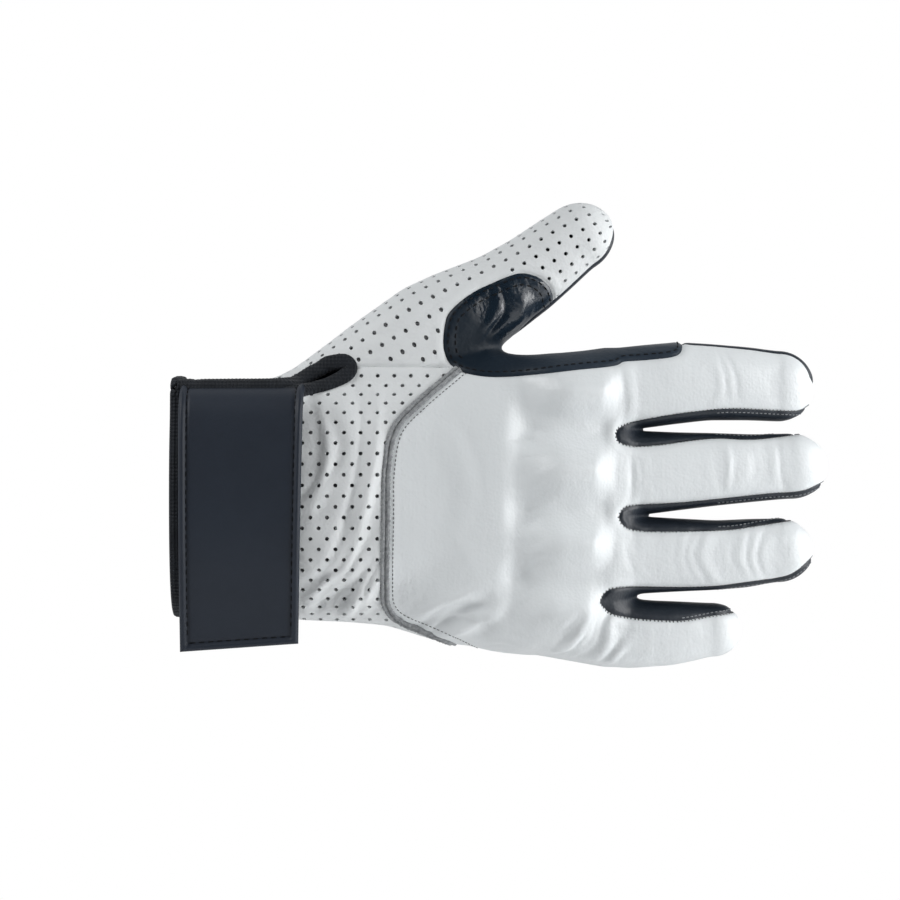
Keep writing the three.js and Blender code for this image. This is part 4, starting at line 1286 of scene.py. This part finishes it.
leather("white_leather", (0.69, 0.722, 0.738), (0.63, 0.662, 0.678), 0.40, lines=0.9)
leather("perforated_leather", (0.68, 0.705, 0.715), (0.60, 0.625, 0.635), 0.5, grain=1.2)
leather("black_leather", (0.010, 0.016, 0.025), (0.006, 0.010, 0.016), 0.45, grain=1.4, crease=1.2)
glossy_leather("saddle_leather", (0.005, 0.012, 0.021), (0.022, 0.033, 0.048), 0.5, shine=0.2)
raw_edge("suede_piping", (0.32, 0.335, 0.345), (0.20, 0.21, 0.22))
fabric("binding_tape", (0.010, 0.013, 0.018), (0.006, 0.008, 0.011), 0.7, 260, sheen=0.08)
rubber("strap_rubber", (0.011, 0.0175, 0.030), (0.008, 0.013, 0.023), 0.55)
hooks("touch_fastener", (0.010, 0.011, 0.013), (0.030, 0.032, 0.035), 900)
fabric("lining_fabric", (0.16, 0.165, 0.17), (0.09, 0.095, 0.10), 0.95, 420)
hooks("foam", (0.10, 0.10, 0.105), (0.05, 0.05, 0.053), 1500)
rubber("hard_shell", (0.03, 0.034, 0.038), (0.02, 0.022, 0.025), 0.35)
fabric("elastic", (0.03, 0.033, 0.036), (0.015, 0.017, 0.02), 0.85, 300)
fabric("dark_thread", (0.005, 0.006, 0.008), (0.009, 0.011, 0.014), 0.7, 900, sheen=0.0)
fabric("grey_thread", (0.16, 0.165, 0.17), (0.09, 0.095, 0.10), 0.7, 900)
fabric("pale_thread", (0.34, 0.36, 0.38), (0.24, 0.255, 0.27), 0.7, 900)


def settle(piece, slot, part, *nodes, finish=None):
    """Gives a piece its finish, its body unless it lies across a bend, and hides the CAD nodes it stands
    for.
    """
    piece.data.materials.append(FINISHES[finish or slot])
    if part in BENDS:
        first, second, start, end = BENDS[part]
        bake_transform(piece)
    else:
        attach(piece, part)
    if nodes:
        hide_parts(*nodes)
    return piece


def part_of(node):
    """The joint part or body that a panel moves with."""
    if node in BENDS:
        return node
    for part in BENDS:
        if node.startswith(part):
            return part
    return "hand"


# Leather panels

for node, triangles in PANELS.items():
    if node in LATTICES:
        slot = "perforated_leather"
    elif node == "back_panel" or node.endswith("_back"):
        slot = "white_leather"
    else:
        slot = "black_leather"
    finish = "saddle_leather" if node in ("thumb_saddle", "index_side_panel") else None
    settle(shell(f"{node}_leather", triangles), slot, part_of(node), node, finish=finish)


# Layers under the leather, and pads on it

PROTECTOR_CORNER = 14
LINED_FROM, LINED_TO = 5, 150
SMALL_CORNER = 2
ELASTIC_RIB, ELASTIC_PITCH = 0.18, 2.4
PATCH, PATCH_RISE = 1.1, 1.3
HEEL_CORNER = 9
HEEL_EDGE, HEEL_CROWN, HEEL_SHOULDER = 0.5, 2.0, (0, 6)
HEEL_GROOVE, HEEL_GROOVE_PLACE, HEEL_GROOVE_WIDTH = 0.5, 2.2, 0.6
HEEL_FLOOR = 0.2


def beyond_lining(points):
    return np.maximum(points[:, 0] - LINED_TO, LINED_FROM - points[:, 0])


def box_of(node):
    """Corners of a node's box in X and Z."""
    low, high = (np.array(place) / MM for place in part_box(node))
    return low[[0, 2]], high[[0, 2]]


def footprint(node, radius, steps=6):
    """Signed distance in X and Z to a node's box, with its corners rounded."""
    low, high = box_of(node)
    outline = []
    for is_high, start in (((1, 1), 0), ((0, 1), 90), ((0, 0), 180), ((1, 0), 270)):
        centre = np.where(is_high, high - radius, low + radius)
        for turn in np.radians(np.linspace(start, start + 90, steps)):
            outline.append(centre + radius * np.array([math.cos(turn), math.sin(turn)]))
    return outline_field(outline)


def within(triangles, field):
    """The triangles whose middles lie where a field is below zero."""
    middles = skin.points[triangles].mean(axis=1)
    return triangles[field(middles) < 0]


def layer(node, ending, slot, triangles, top, thickness):
    """A sheet over part of the hand that stands for a node. Its name is the node's with an ending."""
    return settle(shell(f"{node}_{ending}", triangles, top, thickness), slot, "hand", node)


protector = footprint("knuckle_shell", PROTECTOR_CORNER)
over_knuckles = within(PLAIN["back_panel"], protector)
layer("knuckle_shell", "moulded", "hard_shell", over_knuckles, -SHELL_DEPTH, SHELL)
layer("knuckle_pad", "foam", "foam", over_knuckles, -FOAM_DEPTH, FOAM)

lined = [within(PLAIN["back_panel"], lambda points: -protector(points))]
for node in ("cuff_back_panel", "thumb_panel", "thumb_palm", "thumb_saddle", "palm_panel"):
    lined.append(PLAIN[node])
lined = within(np.vstack(lined), beyond_lining)
layer("hand_lining", "knit", "lining_fabric", lined, -LINING_DEPTH, LINING)

gathered = within(PLAIN["cuff_palm_panel"], footprint("wrist_elastic", SMALL_CORNER))
ribs = ELASTIC_RIB * np.sin(2 * np.pi * skin.points[:, 2] / ELASTIC_PITCH)
layer("wrist_elastic", "ribbed", "elastic", gathered, ribs - ELASTIC_DEPTH, ELASTIC)

patch = within(PLAIN["cuff_back_panel"], footprint("loop_patch", SMALL_CORNER))
layer("loop_patch", "pile", "touch_fastener", patch, PATCH_RISE, PATCH)

heel = footprint("palm_heel_pad", HEEL_CORNER)
heel_triangles = within(PLAIN["palm_panel"], heel)
heel_gap = heel(skin.points)
crown = HEEL_EDGE + HEEL_CROWN * smoothstep(*HEEL_SHOULDER, -heel_gap)
crown -= HEEL_GROOVE * bell(-heel_gap, HEEL_GROOVE_PLACE, HEEL_GROOVE_WIDTH)
heel_pad = layer("palm_heel_pad", "leather", "black_leather", heel_triangles, crown, crown - HEEL_FLOOR)


# Binding tape round the hem and the slit, and the piping. Sections run across the edge, then outward.

TAPE_STEP, TAPE_SMOOTHING = 0.32, 6
RIB_PITCH, RIB_RISE = 1.3, 0.09
HEM_REACH = 0.6
SLIT_LIP = 2.0
PIPING_STEP = 0.35
PIPING_OVERLAP = 0.5
PIPING_FUZZ = 0.16
TAPE_SECTION = [
    (-3.2, 0.3), (-2.9, 0.9), (-1.6, 1.15), (0, 1.1), (0.8, 0.7), (1.1, -0.2), (1.1, -1.2), (0.8, -2),
    (0, -2.4), (-1.6, -2.4), (-2.9, -2.15), (-3.2, -1.6),
]
PIPING_SECTION = [
    (-1.6, -0.5), (-1.55, 0.3), (-1.2, 0.8), (-0.65, 0.85), (-0.25, 0.55), (0, 0.1), (0.25, 0.55),
    (0.65, 0.85), (1.2, 0.8), (1.55, 0.3), (1.6, -0.5),
]


def tape(name, numbers, node, lip=1.0):
    """Ribbed tape folded over an edge of the leather, with a lip that reaches past the edge."""
    section = [(across * (lip if across > 0 else 1), out) for across, out in TAPE_SECTION]
    rows = resample(np.hstack([POINTS[numbers], NORMALS[numbers]]), TAPE_STEP, TAPE_SMOOTHING)
    ribs = RIB_RISE * np.sin(2 * np.pi * TAPE_STEP * np.arange(len(rows)) / RIB_PITCH)
    piece = sweep(name, rows[:, :3], rows[:, 3:], section, wobble=ribs)
    settle(piece, "binding_tape", "hand", node)


rim = np.array(chain(boundary_edges(EDGE_TRIANGLES))[0])
is_hem = skin.points[rim, 0] < HEM + HEM_REACH
turn = np.flatnonzero(is_hem & ~np.roll(is_hem, 1))[0]
rim, is_hem = np.roll(rim, -turn), np.roll(is_hem, -turn)
tape("cuff_binding_tape", rim[is_hem], "cuff_binding")
tape("slit_binding_tape", rim[~is_hem], "slit_binding", SLIT_LIP)

piping_path = onto_back(resample(PIPING_CURVE, PIPING_STEP))
piping_path = piping_path[SADDLE_OUTLINE(piping_path) > -PIPING_OVERLAP]
piping = sweep("back_piping_suede", piping_path, outward(piping_path), PIPING_SECTION, fuzz=PIPING_FUZZ)
settle(piping, "suede_piping", "hand", "back_piping")


# Strap: its line round the cuff in Y and Z from the sewn end, and heights of its layers above that line

STRAP_LINE = [
    (-3, 34.8), (-10, 35.4), (-16, 35.4), (-21.6, 34.2), (-26, 30.4), (-27.9, 23), (-28.3, 14), (-28.2, 2),
    (-27.6, -10), (-26.2, -20), (-24.4, -28), (-21.9, -38), (-19.2, -48.9),
]
STRAP_FLEX = ((0, -21.6, 34), (0, -28.3, -6))
STRAP_X = (3.5, 45.8)
STRAP_STEP, STRAP_COLUMNS = 0.7, 64
STRAP_TAPER = 2.4
STRAP_SLANT, SLANT_LENGTH = 2.9, 25
FACE, FACE_UNDER = 2.0, 1.0
ROLL, ROLL_RISE = 2.3, 0.95
CHANNEL, CHANNEL_WIDTH = 0.5, 0.4
EDGE_ROUND, EDGE_WIDTH = 0.5, 0.35
BACKING, BACKING_UNDER, BACKING_INSET = 0.95, 0.1, 0.8
HOOK, HOOK_UNDER = -0.15, -1.1
HOOK_ROUGH, HOOK_TURNS = 0.12, (4.2, 1.9)


def plate(name, places, normals, top, under):
    """A closed sheet over a grid of places, between two heights above it."""
    rows, columns = places.shape[:2]
    count = rows * columns
    number = np.arange(count).reshape(rows, columns)
    quads = np.stack([number[:-1, :-1], number[:-1, 1:], number[1:, 1:], number[1:, :-1]], -1).reshape(-1, 4)
    ring = np.concatenate([number[0, :-1], number[:-1, -1], number[-1, :0:-1], number[:0:-1, 0]])
    walls = np.stack([np.roll(ring, -1), ring, ring + count, np.roll(ring, -1) + count], axis=1)
    faces = np.vstack([quads, quads[:, ::-1] + count, walls])
    heights = (np.broadcast_to(height, (rows, columns))[..., None] for height in (top, under))
    points = np.vstack([(places + normals * height).reshape(-1, 3) for height in heights])
    return make_mesh(name, points, faces)


def strap_grid(inset=0.0):
    """A grid over the strap: places, outward normals, and the distance to its free edges."""
    x0, x1 = STRAP_X[0] + inset, STRAP_X[1] - inset
    rows = resample(curve(STRAP_LINE), STRAP_STEP)
    ahead = unit(np.gradient(rows, axis=0))
    run = np.arange(len(rows))[:, None] * STRAP_STEP
    end = run[-1]
    share = np.linspace(0, 1, STRAP_COLUMNS)
    drop = STRAP_SLANT * (1 - share) * smoothstep(end - SLANT_LENGTH, end, run)
    width = x1 - x0 - STRAP_TAPER * run / end
    x = x0 + width * share
    places = np.stack([x, rows[:, :1] + drop * ahead[:, :1], rows[:, 1:] + drop * ahead[:, 1:]], axis=-1)
    out = np.stack([0 * ahead[:, 0], ahead[:, 1], -ahead[:, 0]], axis=-1)
    free = np.minimum(np.minimum(x - x0, x0 + width - x), end - run)
    return places, np.broadcast_to(out[:, None], places.shape), free


BENDS["strap"] = ("hand", "strap", *(np.array(end) for end in STRAP_FLEX))
places, normals, free = strap_grid()
roll = np.sqrt(np.clip(1 - ((free - ROLL / 2) / (ROLL / 2)) ** 2, 0, 1))
rise = FACE + ROLL_RISE * roll - CHANNEL * bell(free, ROLL + CHANNEL_WIDTH, CHANNEL_WIDTH)
rise -= EDGE_ROUND * np.exp(-free / EDGE_WIDTH)
face = plate("strap_face_rubber", places, normals, rise, FACE_UNDER)
settle(face, "strap_rubber", "strap", "strap_face")

backing = plate("strap_backing_knit", *strap_grid(BACKING_INSET)[:2], BACKING, BACKING_UNDER)
settle(backing, "lining_fabric", "strap", "strap_backing")

hook_low, hook_high = box_of("strap_hook_tape")
hook_rows = np.flatnonzero((places[:, 0, 2] > hook_low[1]) & (places[:, 0, 2] < hook_high[1]))
hook_places = places[hook_rows].copy()
hook_places[..., 0] = np.linspace(hook_low[0], hook_high[0], STRAP_COLUMNS)
rough = HOOK_ROUGH * np.sin(hook_places[..., 0] * HOOK_TURNS[0])
hook_under = HOOK_UNDER - rough * np.sin(np.arange(len(hook_rows)) * HOOK_TURNS[1])[:, None]
hook = plate("strap_hook_tape_hooks", hook_places, normals[hook_rows], HOOK, hook_under)
settle(hook, "touch_fastener", "strap", "strap_hook_tape")


# Stitches: how far each row lies from the seam it follows, below zero inside its outline, and their sizes

BACK_ROW = -2.7
SADDLE_ROWS = (-1.5, -4.0)
SADDLE_UPPER = 47
SIDE_ROW = -1.6
OVERCAST_ROW = 0.3
STRIP_ROW = -0.8
HEEL_ROW, HEEL_LIFT = -1.6, 0.75
STRAP_ROW = ROLL + 0.5
BACK_STITCH = {"length": 0.95, "gap": 0.55, "radius": 0.17}
OVERCAST = {"length": 0.95, "gap": 0.35, "radius": 0.22, "is_across": True}
STRIP_STITCH = {"length": 0.9, "gap": 0.6, "radius": 0.17}
STRAP_STITCH = {"length": 2.0, "gap": 1.0, "lift": 0.12}


def sew(name, part, slot, lines, finish, **shape):
    """Adds a row of stitches, where there is room for any."""
    row = stitches(name, lines, **shape)
    if row is not None:
        settle(row, slot, part, finish=finish)


lines = contours(PANELS["back_panel"], BACK_OUTLINE(skin.points), BACK_ROW)
sew("back_stitching", "hand", "white_leather", lines, "grey_thread", **BACK_STITCH)

saddle = PANELS["thumb_saddle"]
saddle_gap = SADDLE_OUTLINE(skin.points)
saddle_upper = within(saddle, lambda points: SADDLE_UPPER - points[:, 2])
for number, (triangles, level) in enumerate(zip((saddle, saddle_upper), SADDLE_ROWS), start=1):
    lines = contours(triangles, saddle_gap, level)
    sew(f"saddle_stitching_{number}", "hand", "black_leather", lines, "dark_thread")
lines = contours(PANELS["index_side_panel"], saddle_gap, SIDE_ROW)
sew("side_panel_stitching", "index_side_panel", "black_leather", lines, "dark_thread")

for pair, outline in GAP_OUTLINES.items():
    gap = outline(skin.points)
    for node in ("back_panel", *(f"{name}_{part}_back" for name in pair for part in ("proximal", "distal"))):
        lines = contours(PANELS[node], gap, OVERCAST_ROW)
        thread = "grey_thread" if "distal" in node else "dark_thread"
        row_name = f"{node}_{pair[0]}_{pair[1]}_stitching"
        sew(row_name, part_of(node), "black_leather", lines, thread, **OVERCAST)
    for node in (f"{pair[0]}_distal_fourchette_lower", f"{pair[1]}_distal_fourchette_upper"):
        lines = contours(PANELS[node], gap, STRIP_ROW)
        sew(f"{node}_stitching", part_of(node), "black_leather", lines, "pale_thread", **STRIP_STITCH)

lines = contours(heel_triangles, heel_gap, HEEL_ROW)
sew("heel_pad_stitching", "hand", "black_leather", lines, "grey_thread", lift=HEEL_LIFT)

middle_row, middle_column = len(free) // 2, STRAP_COLUMNS // 2
inset = np.argmin(np.abs(free[middle_row, :middle_column] - STRAP_ROW))
last = np.argmin(np.abs(free[:, middle_column] - STRAP_ROW))
on_face = places + normals * rise[..., None]
tracks = (np.s_[:last, inset], np.s_[:last, -1 - inset], np.s_[last, inset: -inset])
lines = [(on_face[track], normals[track]) for track in tracks]
sew("strap_stitching", "strap", "strap_rubber", lines, "dark_thread", **STRAP_STITCH)


# Floor, light and camera, in metres and watts

VIEW_CENTRE = Vector((94.5, -8, 16)) * MM
FLOOR_SIZE, FLOOR_GAP = 2.4, 0.3
FLOOR_COLOUR = (0.85, 0.85, 0.85)
WHITE = (1, 1, 1, 1)
AMBIENT = (0.97, 0.985, 1, 1)
AMBIENT_RANGE = (-0.3, 0.5)
AMBIENT_STRENGTH = (0.02, 0.6)
CAMERA_DISTANCE = 1.35
FRAME_WIDTH = 0.306
SENSOR = 36

# Softboxes: place from the middle of the view, size and power
SOFTBOXES = {
    "upper_left_softbox": ((-1.0, -0.5, 0.9), (0.6, 0.9), 13.4),
    "left_softbox": ((-1.3, -0.5, 0.1), (0.5, 1.0), 1.6),
    "right_softbox": ((0.75, -0.3, 0.1), (0.3, 0.7), 4.3),
    "right_rim": ((0.75, 0.05, 0.1), (0.3, 0.7), 2.5),
    "right_fill": ((0.95, -1.0, 0.3), (0.5, 1.0), 3.3),
}

floor_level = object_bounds()[0][2] - FLOOR_GAP
bpy.ops.mesh.primitive_plane_add(size=FLOOR_SIZE, location=(VIEW_CENTRE.x, VIEW_CENTRE.y, floor_level))
floor = bpy.context.object
floor.name = "floor"
floor.data.materials.append(Finish("floor", FLOOR_COLOUR, 0.9, specular=0.1).material)

# The world is white to the camera. As a light it is soft, and brighter behind the glove than in front of it.
world = bpy.data.worlds.new("surroundings")
bpy.context.scene.world = world
world.use_nodes = True
tree = world.node_tree
tree.nodes.clear()
place = add_node(tree, "ShaderNodeTexCoord").outputs["Generated"]
depth = add_node(tree, "ShaderNodeSeparateXYZ", {0: place}).outputs["Y"]
strength = spread(tree, depth, AMBIENT_RANGE, AMBIENT_STRENGTH)
ambient = add_node(tree, "ShaderNodeBackground", {"Color": AMBIENT, "Strength": strength}).outputs[0]
backdrop = add_node(tree, "ShaderNodeBackground", {"Color": WHITE, "Strength": 1}).outputs[0]
is_seen = add_node(tree, "ShaderNodeLightPath").outputs["Is Camera Ray"]
surface = add_node(tree, "ShaderNodeMixShader", {0: is_seen, 1: ambient, 2: backdrop}).outputs[0]
add_node(tree, "ShaderNodeOutputWorld", {"Surface": surface})

for name, (place, size, power) in SOFTBOXES.items():
    light = bpy.data.lights.new(name, "AREA")
    light.shape = "RECTANGLE"
    light.size, light.size_y = size
    light.energy = power
    lamp = add_object(name, light)
    lamp.location = VIEW_CENTRE + Vector(place)
    lamp.rotation_euler = (-Vector(place)).to_track_quat("-Z", "Y").to_euler()

camera = bpy.data.cameras.new("camera")
viewer = add_object("camera", camera)
camera.sensor_width = SENSOR
camera.lens = SENSOR * CAMERA_DISTANCE / FRAME_WIDTH
viewer.location = VIEW_CENTRE + Vector((0, -CAMERA_DISTANCE, 0))
viewer.rotation_euler = (math.pi / 2, 0, 0)
bpy.context.scene.camera = viewer
bpy.context.scene.view_settings.view_transform = "Standard"
